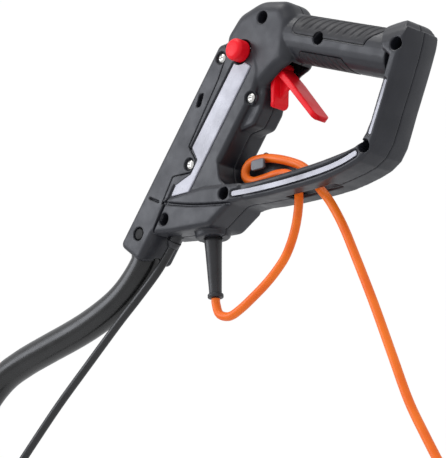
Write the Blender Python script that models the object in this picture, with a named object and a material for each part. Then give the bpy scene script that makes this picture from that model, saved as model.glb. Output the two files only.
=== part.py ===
"""Operator's switch handle of a corded push mower, on the upper end of its handle tube.

Drawn in millimetres in the head's own side plane: x runs to the operator, z up, y across.
The finished model is in metres, +X to the operator and +Z up.  Its origin is on the flat face
of the tube's flattened lower end, where the handle is bolted to the rest of the mower.
"""
import math

import bmesh
import bpy
from mathutils import Matrix, Vector

MM = 0.001
GAP = 0.3                       # clearance between touching pieces
WALL = 2.5                      # housing wall

# Column: a plane frame with a along the column and d back from its front face.
COLUMN_FOOT = Vector((-39.0, -2.5))
COLUMN_ANGLE = math.radians(52.27)
HALF_COLUMN = 19.0
HALF_LOOP = 21.0
HALF_NECK = 18.5

# Grip: an oval bar from the neck to the rear guard.
GRIP_START = Vector((150.0, 0.0, 136.8))
GRIP_SLOPE = math.radians(-21.16)
GRIP_LENGTH = 108.0
GRIP_TALL = 19.5
GRIP_WIDE = 18.0
PAD_THICK = 1.5

TUBE_RADIUS = 12.7
TUBE_WALL = 1.5
TUBE_DEPTH = 14.5               # tube axis behind the column's front face
TUBE_SIDES = 16
TUBE_TOP = 130.0                # how far the tube reaches up the column

TRIGGER_PIVOT = Vector((128.0, 0.0, 117.0))
TRIGGER_TIP = Vector((170.5, 0.0, 64.5))
TRIGGER_HALF = 9.0
PIN_RADIUS = 1.9
BOLT_RADIUS = 2.6
FOOT_HOLE = 3.3                 # hole for an M6 bolt in the tube's flattened end

BUTTON_CENTRE = Vector((101.5, 0.0, 133.3))
BUTTON_RADIUS = 9.0
BUTTON_OUT = 11.0
BUTTON_TRAVEL = 6.0

PLUNGER_Z = 123.0
PLUNGER_Y = 6.5

HOOK_FACE = 4.2                 # near face of the cord hook's plate
HOOK_BACK = 9.2
HOOK_SCREWS = ((104.5, 49.4), (85.6, 32.6))

CORD_RADIUS = 3.6
LEAD_RADIUS = 3.4
RELIEF_TOP = Vector((51.6, 0.0, -10.0))
RELIEF_END = Vector((54.6, 0.0, -59.0))

# Screws that close the shells: x, z of each deep hole in the left shell.
HOUSING_SCREWS = ((124.0, 157.0), (182.5, 125.0), (262.5, 100.0), (229.5, 26.6), (83.0, 18.4), (15.5, 9.5))
# Screws near the surface: a, d in the column's frame.
COVER_SCREWS = ((92.2, 31.6), (179.5, 9.5), (166.5, 60.0))
HEAD_RADIUS = 3.9
SHANK_RADIUS = 1.8

CORD_ROUTE = (
    (54.65, 0, -59.7), (54.95, 0, -64), (59, 0, -73.2), (70, 0, -76.6), (82, 0, -72.6), (96, 0, -65),
    (110, 0, -56.4), (122, 0, -47), (131.5, 0, -37), (139, 0, -23), (143.5, 0, -8), (145.2, 0, 8),
    (142.6, 0, 20.5), (134, 0, 28.2), (122, 0, 30.4), (108, 0, 29.6), (97, 0, 29.6), (89.3, 0, 33.4),
    (87.6, 0, 39.2), (91.5, 0, 44.8), (99, 0, 46.8), (110, 0, 46.2), (122, 0, 43.2), (136, 0, 38),
    (149, 0, 31.4), (158.5, 0, 22.2), (166.5, 0, 10.5), (177.5, 0, -3), (190, 0, -24), (202, 0, -50),
    (219.5, 0, -90), (236, 0, -131), (251, 0, -168), (266, 0, -196), (281, 0, -222),
)
LEAD_ROUTE = (
    (4, 0, -8.6), (-2, -1, -17), (-11, -4, -30), (-29, -7, -48), (-49.5, -9, -66), (-83, -9, -93.5),
    (-117.5, -9, -122), (-143, -9, -145), (-166, -9, -166.5), (-181, -9, -181),
)
TUBE_ROUTE = (
    (-26, 0, -15.5), (-35.5, 0, -27), (-49, 0, -38.5), (-66, 0, -48), (-91, 0, -57.5), (-116, 0, -64.5),
    (-144, 0, -71), (-176, 0, -79), (-203, 0, -89), (-226, 0, -106), (-243, 0, -129),
)

MATERIALS = {
    "housing": ((0.055, 0.056, 0.066), 0.42, 0.0), "pad": ((0.035, 0.035, 0.038), 0.72, 0.0),
    "red": ((0.70, 0.012, 0.018), 0.35, 0.0), "orange": ((0.87, 0.17, 0.012), 0.45, 0.0),
    "tube_paint": ((0.008, 0.008, 0.009), 0.16, 0.0), "steel": ((0.62, 0.62, 0.60), 0.28, 1.0),
    "rubber": ((0.014, 0.014, 0.016), 0.5, 0.0), "white_plastic": ((0.75, 0.74, 0.70), 0.5, 0.0),
    "brass": ((0.70, 0.52, 0.22), 0.3, 1.0), "hook_grey": ((0.11, 0.115, 0.13), 0.45, 0.0),
    "lead_jacket": ((0.012, 0.012, 0.013), 0.38, 0.0), "wire_blue": ((0.03, 0.10, 0.45), 0.5, 0.0),
}


def clear_scene():
    for thing in list(bpy.data.objects):
        bpy.data.objects.remove(thing, do_unlink=True)


def material(slot):
    found = bpy.data.materials.get(slot)
    if found:
        return found
    colour, rough, metal = MATERIALS[slot]
    made = bpy.data.materials.new(slot)
    made.use_nodes = True
    shader = made.node_tree.nodes["Principled BSDF"]
    shader.inputs["Base Color"].default_value = (*colour, 1.0)
    shader.inputs["Roughness"].default_value = rough
    shader.inputs["Metallic"].default_value = metal
    made.diffuse_color = (*colour, 1.0)
    return made


def column(a, d):
    """Side-plane x, z of a point a up the column and d behind its front face."""
    along = Vector((math.cos(COLUMN_ANGLE), math.sin(COLUMN_ANGLE)))
    back = Vector((math.sin(COLUMN_ANGLE), -math.cos(COLUMN_ANGLE)))
    return COLUMN_FOOT + along * a + back * d


def grip_point(s, angle, tall=GRIP_TALL, wide=GRIP_WIDE):
    """Point s along the grip, at an angle up from its left side."""
    along = Vector((math.cos(GRIP_SLOPE), 0, math.sin(GRIP_SLOPE)))
    up = Vector((-math.sin(GRIP_SLOPE), 0, math.cos(GRIP_SLOPE)))
    return GRIP_START + along * s + up * (tall * math.sin(angle)) + Vector((0, -wide * math.cos(angle), 0))


def fillet(corners, steps=3):
    """Closed outline from (x, z, radius) corners, each radius drawn as an arc."""
    outline = []
    count = len(corners)
    for i, (x, z, radius) in enumerate(corners):
        here = Vector((x, z))
        to_last = Vector(corners[i - 1][:2]) - here
        to_next = Vector(corners[(i + 1) % count][:2]) - here
        half = to_last.angle(to_next) / 2
        if radius <= 0 or half > math.radians(88):
            outline.append(here)
            continue
        reach = min(radius / math.tan(half), 0.48 * to_last.length, 0.48 * to_next.length)
        radius = reach * math.tan(half)
        centre = here + (to_last.normalized() + to_next.normalized()).normalized() * (radius / math.sin(half))
        start = here + to_last.normalized() * reach - centre
        turn = start.angle_signed(here + to_next.normalized() * reach - centre)
        for k in range(steps + 1):
            outline.append(centre + Matrix.Rotation(-turn * k / steps, 2) @ start)
    return outline


def inset(outline, wall):
    """The same outline moved inward by the wall thickness."""
    area = sum(p.cross(q) for p, q in zip(outline, outline[1:] + outline[:1]))
    side = 1.0 if area > 0 else -1.0
    moved = []
    for i, here in enumerate(outline):
        before = (here - outline[i - 1]).normalized()
        after = (outline[(i + 1) % len(outline)] - here).normalized()
        normal = Vector((-before.y - after.y, before.x + after.x)).normalized() * side
        stretch = max(0.4, math.sqrt((1 + before.dot(after)) / 2))
        moved.append(here + normal * (wall / stretch))
    return moved


def finish(name, bm, slot):
    """Object from a bmesh drawn in millimetres."""
    bmesh.ops.remove_doubles(bm, verts=bm.verts, dist=0.001)
    bmesh.ops.recalc_face_normals(bm, faces=bm.faces)
    bm.transform(Matrix.Scale(MM, 4))
    mesh = bpy.data.meshes.new(name)
    bm.to_mesh(mesh)
    bm.free()
    made = bpy.data.objects.new(name, mesh)
    bpy.context.collection.objects.link(made)
    mesh.materials.append(material(slot))
    return made


def plate(name, outline, low, high, slot="housing", edge=0.0, steps=2):
    """Side-plane outline with a thickness from y low to y high and rounded rims."""
    bm = bmesh.new()
    loop = [bm.verts.new((p[0], low, p[1])) for p in outline]
    face = bm.faces.new(loop)
    grown = bmesh.ops.extrude_face_region(bm, geom=[face])
    moved = [v for v in grown["geom"] if isinstance(v, bmesh.types.BMVert)]
    bmesh.ops.translate(bm, verts=moved, vec=(0, high - low, 0))
    if edge > 0:
        rims = [e for e in bm.edges if abs(e.verts[0].co.y - e.verts[1].co.y) < 0.01]
        bmesh.ops.bevel(bm, geom=rims, offset=edge, segments=steps, profile=0.5, affect="EDGES")
    return finish(name, bm, slot)


def lathe(name, profile, start, end, slot="housing", sides=16, squeeze=1.0):
    """Turned piece: profile rows of (distance from start, radius) about the line start to end."""
    bm = bmesh.new()
    axis = (end - start).normalized()
    across = axis.orthogonal().normalized() if abs(axis.y) > 0.9 else Vector((0, 1, 0))
    third = axis.cross(across).normalized()
    across = third.cross(axis)
    rings = []
    for distance, radius in profile:
        ring = []
        for k in range(sides):
            turn = 2 * math.pi * k / sides
            offset = across * (radius * squeeze * math.cos(turn)) + third * (radius * math.sin(turn))
            ring.append(bm.verts.new(start + axis * distance + offset))
        rings.append(ring)
    for low, high in zip(rings, rings[1:]):
        for k in range(sides):
            bm.faces.new((low[k], low[(k + 1) % sides], high[(k + 1) % sides], high[k]))
    bm.faces.new(rings[0])
    bm.faces.new(rings[-1])
    made = finish(name, bm, slot)
    made.data.shade_smooth()
    made.data.set_sharp_from_angle(angle=math.radians(35))
    return made


def rod(name, start, end, radius, slot="housing", sides=16, squeeze=1.0):
    length = (end - start).length
    return lathe(name, ((0, radius), (length, radius)), start, end, slot, sides, squeeze)


def across_rod(name, x, z, low, high, radius, slot="housing", sides=12):
    """Rod along y."""
    return rod(name, Vector((x, low, z)), Vector((x, high, z)), radius, slot, sides)


def block(name, low, high, slot="housing", edge=0.0):
    bm = bmesh.new()
    bmesh.ops.create_cube(bm, size=1.0)
    size = Vector(high) - Vector(low)
    bm.transform(Matrix.Translation((Vector(high) + Vector(low)) / 2) @ Matrix.Diagonal((*size, 1.0)))
    if edge > 0:
        bmesh.ops.bevel(bm, geom=bm.edges[:], offset=edge, segments=2, profile=0.5, affect="EDGES")
    return finish(name, bm, slot)


def combine(target, tool, operation, keep=False):
    """Boolean of two objects, applied at once; the tool is used up unless kept."""
    step = target.modifiers.new("join", "BOOLEAN")
    step.operation = operation
    step.solver = "EXACT"
    step.object = tool
    bpy.context.view_layer.update()
    shaped = target.evaluated_get(bpy.context.evaluated_depsgraph_get())
    mesh = bpy.data.meshes.new_from_object(shaped)
    target.modifiers.clear()
    old = target.data
    target.data = mesh
    bpy.data.meshes.remove(old)
    if not keep:
        bpy.data.objects.remove(tool, do_unlink=True)
    return target


def cut(target, tool, keep=False):
    return combine(target, tool, "DIFFERENCE", keep)


def join(target, *tools):
    for tool in tools:
        combine(target, tool, "UNION")
    return target


def smooth_route(points, spacing):
    """Evenly spaced points on a smooth curve through the route's points."""
    knots = [Vector(p) for p in points]
    knots = [2 * knots[0] - knots[1]] + knots + [2 * knots[-1] - knots[-2]]
    fine = []
    for i in range(1, len(knots) - 2):
        for k in range(20):
            t = k / 20
            p0, p1, p2, p3 = knots[i - 1:i + 3]
            fine.append(0.5 * (2 * p1 + (p2 - p0) * t + (2 * p0 - 5 * p1 + 4 * p2 - p3) * t * t
                               + (3 * p1 - p0 - 3 * p2 + p3) * t ** 3))
    fine.append(knots[-2])
    total = sum((q - p).length for p, q in zip(fine, fine[1:]))
    count = round(total / spacing)
    spaced, walked, goal = [fine[0]], 0.0, total / count
    for p, q in zip(fine, fine[1:]):
        step = (q - p).length
        while walked + step >= goal - 1e-6 and len(spaced) < count:
            spaced.append(p.lerp(q, (goal - walked) / step))
            goal += total / count
        walked += step
    spaced.append(fine[-1])
    return spaced


def cord(name, route, radius, slot, spacing):
    """Free cord: a curve with a round section and filled ends."""
    curve = bpy.data.curves.new(name, "CURVE")
    curve.dimensions = "3D"
    curve.bevel_depth = radius * MM
    curve.bevel_resolution = 2
    curve.use_fill_caps = True
    spline = curve.splines.new("POLY")
    points = smooth_route(route, spacing)
    spline.points.add(len(points) - 1)
    for knot, place in zip(spline.points, points):
        knot.co = (*(place * MM), 1.0)
    made = bpy.data.objects.new(name, curve)
    bpy.context.collection.objects.link(made)
    curve.materials.append(material(slot))
    return made


def column_outline():
    corners = ((0, 0, 5), (187, 0, 6), (201, 16, 12), (203, 38, 14), (190, 58, 14), (177, 67.5, 10),
               (163, 72, 6), (149, 72, 5), (138, 60.5, 4), (100, 61, 0), (72, 70, 0), (36, 40, 0),
               (27, 29, 0), (0, 29, 5))
    return fillet([(*column(a, d), r) for a, d, r in corners])


def cover_outline(gap):
    """Front part of the column, up to its seam; gap opens the seam."""
    corners = ((-6, -6, 0), (194, -6, 0), (188, 12 - gap, 0), (179.6, 15.3 - gap, 3), (162.7, 18.3 - gap, 3),
               (104.1 - gap, 22.3 - gap, 2), (98.3 - gap, 37 - gap, 3), (87.8 + gap, 37.9 - gap, 3),
               (75.7 + gap, 21.1 - gap, 3), (53.8, 23.6 - gap, 4), (26.5, 28.8 - gap, 0), (26.2, 36, 0), (-6, 36, 0))
    return fillet([(*column(a, d), r) for a, d, r in corners], 3)


def skirt_outline():
    return fillet(((4, 27, 0), (-1, 0.3, 0), (24, -2.6, 30), (66, -5, 12), (90, 9.5, 8), (104, 10, 0),
                   (100, 24, 0), (60, 29, 0)))


def neck_outline():
    return fillet(((80, 128, 0), (80.5, 152, 10), (96, 168, 16), (120, 173.6, 24), (151, 164, 9), (158.5, 152, 8),
                   (151.5, 128, 0), (150, 114, 6), (140, 112, 6), (122, 100, 6), (100, 92, 0)))


def loop_outline():
    """Lower bar and rear guard."""
    return fillet(((76, 12, 0), (115, 8.6, 0), (150, 7.6, 60), (185, 8, 60), (235.5, 15.6, 11), (271.5, 104, 8),
                   (271, 119, 8), (258, 122.5, 5), (249, 118, 3), (257, 98, 0), (246, 68, 40), (229.5, 28.2, 6),
                   (200, 25.2, 60), (165, 22.6, 60), (130, 22.2, 60), (84, 26.5, 0), (76, 27, 0)))


def fillet_root():
    """Web that rounds the corner between the column and the lower bar."""
    return fillet(((60, 16, 0), (98, 14, 0), (98, 24.4, 0), (77.5, 27, 11), (74.6, 48, 0), (60, 40, 0)))


def grip_rod(name, grow=0.0, start=-8.0, length=GRIP_LENGTH):
    along = Vector((math.cos(GRIP_SLOPE), 0, math.sin(GRIP_SLOPE)))
    ratio = (GRIP_WIDE + grow) / (GRIP_TALL + grow)
    return rod(name, GRIP_START + along * start, GRIP_START + along * length, GRIP_TALL + grow, sides=24,
               squeeze=ratio)


def guard_top_cutters():
    """Wedges that round the guard's two upper corners when it is seen from behind."""
    made = []
    for side in (-1, 1):
        bm = bmesh.new()
        arc = [(side * (HALF_LOOP - 17 + 17 * math.cos(t)), 98 + 24 * math.sin(t))
               for t in (math.radians(90) * k / 6 for k in range(7))]
        ring = arc + [(side * 2, 140), (side * 30, 140), (side * 30, 98)]
        loop = [bm.verts.new((236, y, z)) for y, z in ring]
        face = bm.faces.new(loop)
        grown = bmesh.ops.extrude_face_region(bm, geom=[face])
        moved = [v for v in grown["geom"] if isinstance(v, bmesh.types.BMVert)]
        bmesh.ops.translate(bm, verts=moved, vec=(60, 0, 0))
        made.append(finish("guard_corner", bm, "housing"))
    return made


def tube_line(a):
    point = column(a, TUBE_DEPTH)
    return Vector((point.x, 0, point.y))


def housing_outside():
    body = plate("housing", column_outline(), -HALF_COLUMN, HALF_COLUMN, edge=3.5)
    parts = [
        plate("neck", neck_outline(), -HALF_NECK, HALF_NECK, edge=5.5),
        plate("skirt", skirt_outline(), -HALF_LOOP, HALF_LOOP, edge=4),
        plate("root", fillet_root(), -HALF_LOOP + 1.2, HALF_LOOP - 1.2),
        grip_rod("grip"),
    ]
    loop = plate("loop", loop_outline(), -HALF_LOOP, HALF_LOOP, edge=2.5)
    for wedge in guard_top_cutters():
        cut(loop, wedge)
    boss = lathe("boss", ((0, 15), (6, 14.2), (7, 13)), Vector((51.4, 0, -2.6)), Vector((51.8, 0, -9.6)), sides=24)
    return join(body, *parts, loop, boss)


def housing_inside():
    room = plate("room", inset(column_outline(), WALL), WALL - HALF_COLUMN, HALF_COLUMN - WALL)
    parts = [
        plate("neck_room", inset(neck_outline(), WALL), WALL - HALF_NECK, HALF_NECK - WALL, edge=3, steps=1),
        plate("skirt_room", inset(skirt_outline(), WALL), WALL - HALF_LOOP, HALF_LOOP - WALL),
        plate("loop_room", inset(loop_outline(), WALL), WALL + 1 - HALF_LOOP, HALF_LOOP - WALL - 1),
        grip_rod("grip_room", grow=-3.2, start=-6, length=GRIP_LENGTH - 3),
    ]
    return join(room, *parts)


def shell_cutters():
    """Openings that the two shells share."""
    trigger_gap = plate("trigger_gap", fillet(((123, 96, 0), (123, 110, 0), (118.5, 116, 0), (118.5, 131, 0),
                        (136, 131, 0), (148, 118, 0), (148, 108, 0), (134, 99, 0))), -10.4, 10.4)
    cord_slot = plate("cord_slot", fillet(((136.5, 2, 0), (136.5, 30, 0), (187, 30, 0), (187, 2, 0))), -6.0, 6.0)
    slot_mouth = plate("slot_mouth", fillet(((129, 17, 0), (129, 30, 0), (187, 30, 0), (187, 17, 0))), -15.5, 15.5)
    relief_hole = lathe("relief_hole", ((0, 7.4), (14, 7.4)), Vector((51.2, 0, 2)), Vector((51.8, 0, -12)), sides=20)
    lead_hole = rod("lead_hole", Vector((12.4, 0, 3.5)), Vector((1.4, 0, -12.1)), 5.3, sides=16)
    bore = rod("bore", tube_line(-20), tube_line(TUBE_TOP + 1), TUBE_RADIUS + GAP, sides=24)
    return [trigger_gap, cord_slot, slot_mouth, relief_hole, lead_hole, bore]


def hook_rib():
    """Rib of the right shell that carries the cord hook in the corner of the hand opening."""
    outline = fillet(((70, 18, 0), (70, 44, 0), (88, 50.5, 12), (111, 51.5, 10), (140, 30, 4), (140, 20, 0)))
    return plate("hook_rib", outline, HOOK_BACK + GAP, HOOK_BACK + 5)


def make_shell(name, side):
    """One half of the housing: side -1 is the left shell, +1 the right one."""
    seam, far = side * GAP / 2, side * 60
    shell = housing_outside()
    shell.name = shell.data.name = name
    cut(shell, block("other_half", (-90, min(seam, -far), -60), (340, max(seam, -far), 200)))
    cut(shell, housing_inside())
    seat = rod("clamp", tube_line(30), tube_line(94), TUBE_RADIUS + 2.6, sides=16)
    cut(seat, block("other_half", (-90, min(seam, -far), -60), (340, max(seam, -far), 200)))
    join(shell, seat)
    if side > 0:
        join(shell, hook_rib())
    for x, z in HOUSING_SCREWS:
        join(shell, across_rod("post", x, z, *sorted((seam, side * 16.9)), 6.4, sides=16))
    for x, z in HOUSING_SCREWS:
        if side < 0:
            cut(shell, across_rod("counterbore", x, z, -30, -7, 4.9, sides=16))
        cut(shell, across_rod("pilot", x, z, *sorted((0, side * 13.0)), SHANK_RADIUS + GAP, sides=12))
    if side < 0:
        near_side_openings(shell)
    else:
        for x, z in HOOK_SCREWS:
            cut(shell, across_rod("pilot", x, z, 0, 14, SHANK_RADIUS + GAP, sides=12))
    cut(shell, across_rod("pin_seat", TRIGGER_PIVOT.x, TRIGGER_PIVOT.z, *sorted((side * 10.9, side * 16.4)),
                          PIN_RADIUS + GAP, sides=12))
    for tool in shell_cutters():
        cut(shell, tool)
    for pad in grip_pads("pocket", GAP):
        cut(shell, pad)
    return cut(shell, plate("cover_room", cover_outline(-GAP / 2), -40, 40))


def near_side_openings(shell):
    """Screw recesses and the lock button's well, which only the left shell has."""
    a, d = COVER_SCREWS[2]
    point = column(a, d)
    join(shell, across_rod("post", point.x, point.y, 1.5 - HALF_COLUMN, -6, 5.6, sides=16))
    for a, d in COVER_SCREWS:
        point = column(a, d)
        cut(shell, across_rod("recess", point.x, point.y, -30, 3 - HALF_COLUMN, 5.2, sides=16))
        cut(shell, across_rod("pilot", point.x, point.y, -20, -9.4, SHANK_RADIUS + GAP, sides=12))
    x, z = BUTTON_CENTRE.x, BUTTON_CENTRE.z
    join(shell, across_rod("cup", x, z, -17.4, -6.7, BUTTON_RADIUS + 2, sides=24))
    cut(shell, across_rod("button_well", x, z, -40, -8.6, BUTTON_RADIUS + 0.4, sides=24))
    cut(shell, across_rod("stem_hole", x, z, -10, -5, 4.0, sides=16))


def make_cover():
    cover = plate("front_cover", column_outline(), -HALF_COLUMN, HALF_COLUMN, edge=3.5)
    combine(cover, plate("cover_zone", cover_outline(GAP / 2), -40, 40), "INTERSECT")
    cut(cover, rod("bore", tube_line(-20), tube_line(TUBE_TOP + 1), TUBE_RADIUS + GAP, sides=24))
    low = column(-20, TUBE_DEPTH + 3)
    cut(cover, rod("mouth", Vector((low.x, 0, low.y)), tube_line(9), TUBE_RADIUS + 1.2, sides=24))
    foot = column(18.8, TUBE_DEPTH)
    cut(cover, across_rod("bolt_hole", foot.x, foot.y, -40, 40, BOLT_RADIUS + GAP))
    cut(cover, across_rod("bolt_recess", foot.x, foot.y, -40, -14.6, 5.6, sides=20))
    cut(cover, across_rod("nut_recess", foot.x, foot.y, 14.4, 40, 5.6, sides=20))
    for a, d in COVER_SCREWS[:2]:
        point = column(a, d)
        cut(cover, across_rod("recess", point.x, point.y, -30, 3 - HALF_COLUMN, 5.2, sides=16))
        cut(cover, across_rod("pilot", point.x, point.y, -20, -9.4, SHANK_RADIUS + GAP, sides=12))
    latch = column(140.6, 9.7)
    corners = ((-4, -3), (1, -3), (4, 3), (-1, 3))
    return cut(cover, plate("latch_slot", [latch + Vector(p) for p in corners], -30, -13))


def grip_pads(name, grow=0.0):
    """Soft insets of the grip: a top and a bottom one on each shell."""
    made = []
    ranges = (("top", 4.0, 97.0, 4, 88), ("bottom", 14.0, 72.0, -88, -38))
    for level, start, end, low, high in ranges:
        for side in ("left", "right"):
            bm = bmesh.new()
            rings = []
            for s in (start - grow, end + grow):
                inner, outer = [], []
                for k in range(7):
                    spread = math.radians(grow * 3)
                    angle = math.radians(low) - spread + (math.radians(high - low) + 2 * spread) * k / 6
                    sink = PAD_THICK + grow
                    pair = (grip_point(s, angle, GRIP_TALL - sink, GRIP_WIDE - sink),
                            grip_point(s, angle, GRIP_TALL + grow * 2, GRIP_WIDE + grow * 2))
                    if side == "right":
                        pair = [Vector((p.x, -p.y, p.z)) for p in pair]
                    inner.append(bm.verts.new(pair[0]))
                    outer.append(bm.verts.new(pair[1]))
                rings.append(inner + outer[::-1])
            count = len(rings[0])
            for k in range(count):
                bm.faces.new((rings[0][k], rings[0][(k + 1) % count], rings[1][(k + 1) % count], rings[1][k]))
            bm.faces.new(rings[0])
            bm.faces.new(rings[1])
            made.append(finish(f"{name}_{level}_{side}", bm, "pad"))
    return made


def make_trigger():
    along = (TRIGGER_TIP - TRIGGER_PIVOT).normalized()
    across = Vector((-along.z, 0, along.x))
    reach = (TRIGGER_TIP - TRIGGER_PIVOT).length

    def lever(s, t):
        point = TRIGGER_PIVOT + along * s + across * t
        return point.x, point.z

    finger = fillet([(*lever(-2, 3), 0), (*lever(24, 3.4), 20), (*lever(reach, 2.2), 2), (*lever(reach, -2.4), 2),
                     (*lever(24, -2.2), 20), (*lever(-2, -3), 0)])
    body = plate("trigger_lever", finger, -TRIGGER_HALF, TRIGGER_HALF, "red", edge=1.2)
    tail = plate("tail", fillet(((123.8, 116, 0), (123.8, 88, 0), (122.4, 84.6, 0), (125.6, 83.4, 0), (127.4, 88, 0),
                 (128.4, 116, 0))), -TRIGGER_HALF, TRIGGER_HALF, "red", edge=0.8)
    web = plate("web", ((126, 113), (139.5, 101), (126.5, 91)), -1.6, 1.6, "red")
    hub = across_rod("hub", TRIGGER_PIVOT.x, TRIGGER_PIVOT.z, -TRIGGER_HALF, TRIGGER_HALF, 5.4, "red", 20)
    cam = plate("cam", ((121.0, 117), (121.0, 128), (126, 128), (130, 119)), 3.5, 8.5, "red")
    join(body, tail, web, hub, cam)
    cut(body, across_rod("bore", TRIGGER_PIVOT.x, TRIGGER_PIVOT.z, -20, 20, PIN_RADIUS + GAP / 2, sides=32))
    return set_origin(body, TRIGGER_PIVOT)


def set_origin(thing, point):
    """Put an object's origin on its joint's axis without moving its mesh."""
    thing.data.transform(Matrix.Translation(-point * MM))
    thing.location = point * MM
    return thing


def make_lock():
    x, z = BUTTON_CENTRE.x, BUTTON_CENTRE.z
    outside = -HALF_COLUMN - BUTTON_OUT
    rows = ((0, BUTTON_RADIUS - 2.2), (0.9, BUTTON_RADIUS - 0.7), (2.4, BUTTON_RADIUS), (11.6, BUTTON_RADIUS),
            (11.6, 3.4), (22.6, 3.4))
    button = lathe("lock_button", rows, Vector((x, outside, z)), Vector((x, 0, z)), "red", 24)
    set_origin(button, Vector((x, outside, z)))
    spring = coil("lock_spring", Vector((x, -8.95, z)), Vector((0, -1, 0)), 5.6, 0.45, 3.1, 3)
    return button, spring


def coil(name, start, axis, radius, wire, length, turns):
    """Wire spring: a round wire swept along a helix."""
    bm = bmesh.new()
    across = axis.orthogonal().normalized()
    third = axis.cross(across)
    steps = turns * 9
    rings = []
    for i in range(steps + 1):
        turn = 2 * math.pi * turns * i / steps
        out = across * math.cos(turn) + third * math.sin(turn)
        centre = start + out * radius + axis * (wire + (length - 2 * wire) * i / steps)
        rings.append([bm.verts.new(centre + out * (wire * math.cos(q)) + axis * (wire * math.sin(q)))
                      for q in (2 * math.pi * k / 5 for k in range(5))])
    for low, high in zip(rings, rings[1:]):
        for k in range(5):
            bm.faces.new((low[k], low[(k + 1) % 5], high[(k + 1) % 5], high[k]))
    bm.faces.new(rings[0])
    bm.faces.new(rings[-1])
    made = finish(name, bm, "steel")
    made.data.shade_smooth()
    return made


def make_switch():
    body = block("switch_body", (89, 2, 115), (114.5, 12.5, 130), "rubber", edge=0.8)
    start = Vector((114.5 + 5, PLUNGER_Y, PLUNGER_Z))
    cut(body, rod("bore", start, start - Vector((19, 0, 0)), 1.8 + GAP, sides=12))
    plunger = rod("switch_plunger", Vector((120.5, PLUNGER_Y, PLUNGER_Z)), Vector((108, PLUNGER_Y, PLUNGER_Z)), 1.8,
                  "white_plastic", 12)
    set_origin(plunger, Vector((120.5, PLUNGER_Y, PLUNGER_Z)))
    return body, plunger


def make_fasteners():
    for k, (x, z) in enumerate(HOUSING_SCREWS, 1):
        screw(f"housing_screw_{k}", x, z, -10.2, 12.0)
    for k, (a, d) in enumerate(COVER_SCREWS, 1):
        point = column(a, d)
        screw(f"cover_screw_{k}", point.x, point.y, 0.4 - HALF_COLUMN, -9.8)
    foot = column(18.8, TUBE_DEPTH)
    lathe("cross_bolt", ((0, 4.2), (0.8, 5.0), (3.2, 5.0), (3.2, BOLT_RADIUS), (35, BOLT_RADIUS)),
          Vector((foot.x, -18.2, foot.y)), Vector((foot.x, 0, foot.y)), "steel", 16)
    nut = across_rod("cross_nut", foot.x, foot.y, 14.8, 18.4, 4.6, "steel", 6)
    cut(nut, across_rod("thread", foot.x, foot.y, 10, 20, BOLT_RADIUS + GAP))


def screw(name, x, z, head, end):
    """Pan-head screw along y with its head at y head and its tip at y end."""
    length = end - head
    made = lathe(name, ((0, 2.6), (0.8, HEAD_RADIUS), (2.2, HEAD_RADIUS), (2.2, SHANK_RADIUS),
                           (length - 2, SHANK_RADIUS), (length, 0.5)),
                 Vector((x, head, z)), Vector((x, end, z)), "steel", 8)
    return cut(made, block("slot", (x - 1.9, head - 1, z - 0.4), (x + 1.9, head + 1.0, z + 0.4)))


def make_tube():
    """Bent tube with a flattened, drilled lower end."""
    route = [tuple(tube_line(a)) for a in (TUBE_TOP, 70, 30, 6)] + list(TUBE_ROUTE)
    points = smooth_route(route, 14.0)
    last = (points[-1] - points[-2]).normalized()
    solids = []
    for radius in (TUBE_RADIUS, TUBE_RADIUS - TUBE_WALL):
        bm = bmesh.new()
        rings = []
        for i, here in enumerate(points):
            ahead = points[min(i + 1, len(points) - 1)] - points[max(i - 1, 0)]
            third = ahead.normalized().cross(Vector((0, 1, 0)))
            rings.append([bm.verts.new(here + Vector((0, radius * math.cos(q), 0)) + third * (radius * math.sin(q)))
                          for q in (2 * math.pi * k / TUBE_SIDES for k in range(TUBE_SIDES))])
        if radius < TUBE_RADIUS:
            for v in rings[0]:
                v.co -= (points[1] - points[0]) * 0.5
        for low, high in zip(rings, rings[1:]):
            for k in range(TUBE_SIDES):
                following = (k + 1) % TUBE_SIDES
                bm.faces.new((low[k], low[following], high[following], high[k]))
        bm.faces.new(rings[0])
        bm.faces.new(rings[-1])
        solids.append(finish("handle_tube", bm, "tube_paint"))
    tube = cut(solids[0], solids[1])
    tube.name = "handle_tube"
    third = last.cross(Vector((0, 1, 0)))
    rows = ((-3, 12.6, 12.6), (6, 9.5, 13.6), (16, 4.0, 15.4), (22, 4.0, 16), (46, 4.0, 16), (54, 4.0, 12), (58, 4.0, 5))
    bm = bmesh.new()
    rings = []
    for s, thick, wide in rows:
        rings.append([bm.verts.new(points[-1] + last * s + Vector((0, thick * squared(math.cos(q)), 0))
                                   + third * (wide * squared(math.sin(q))))
                      for q in (2 * math.pi * (k + 0.5) / TUBE_SIDES for k in range(TUBE_SIDES))])
    for low, high in zip(rings, rings[1:]):
        for k in range(TUBE_SIDES):
            following = (k + 1) % TUBE_SIDES
            bm.faces.new((low[k], low[following], high[following], high[k]))
    bm.faces.new(rings[0])
    bm.faces.new(rings[-1])
    join(tube, finish("flat_end", bm, "tube_paint"))
    hole = points[-1] + last * 36
    cut(tube, across_rod("hole", hole.x, hole.z, -30, 30, FOOT_HOLE, sides=40))
    bolt = column(18.8, TUBE_DEPTH)
    cut(tube, across_rod("bolt_hole", bolt.x, bolt.y, -30, 30, BOLT_RADIUS + GAP))
    shade(tube)
    return tube, points[-1] + last * 24


def squared(value):
    """Flattens a round section towards a rounded box."""
    return math.copysign(abs(value) ** 0.5, value)


def shade(thing):
    thing.data.shade_smooth()
    thing.data.set_sharp_from_angle(angle=math.radians(40))


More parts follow.
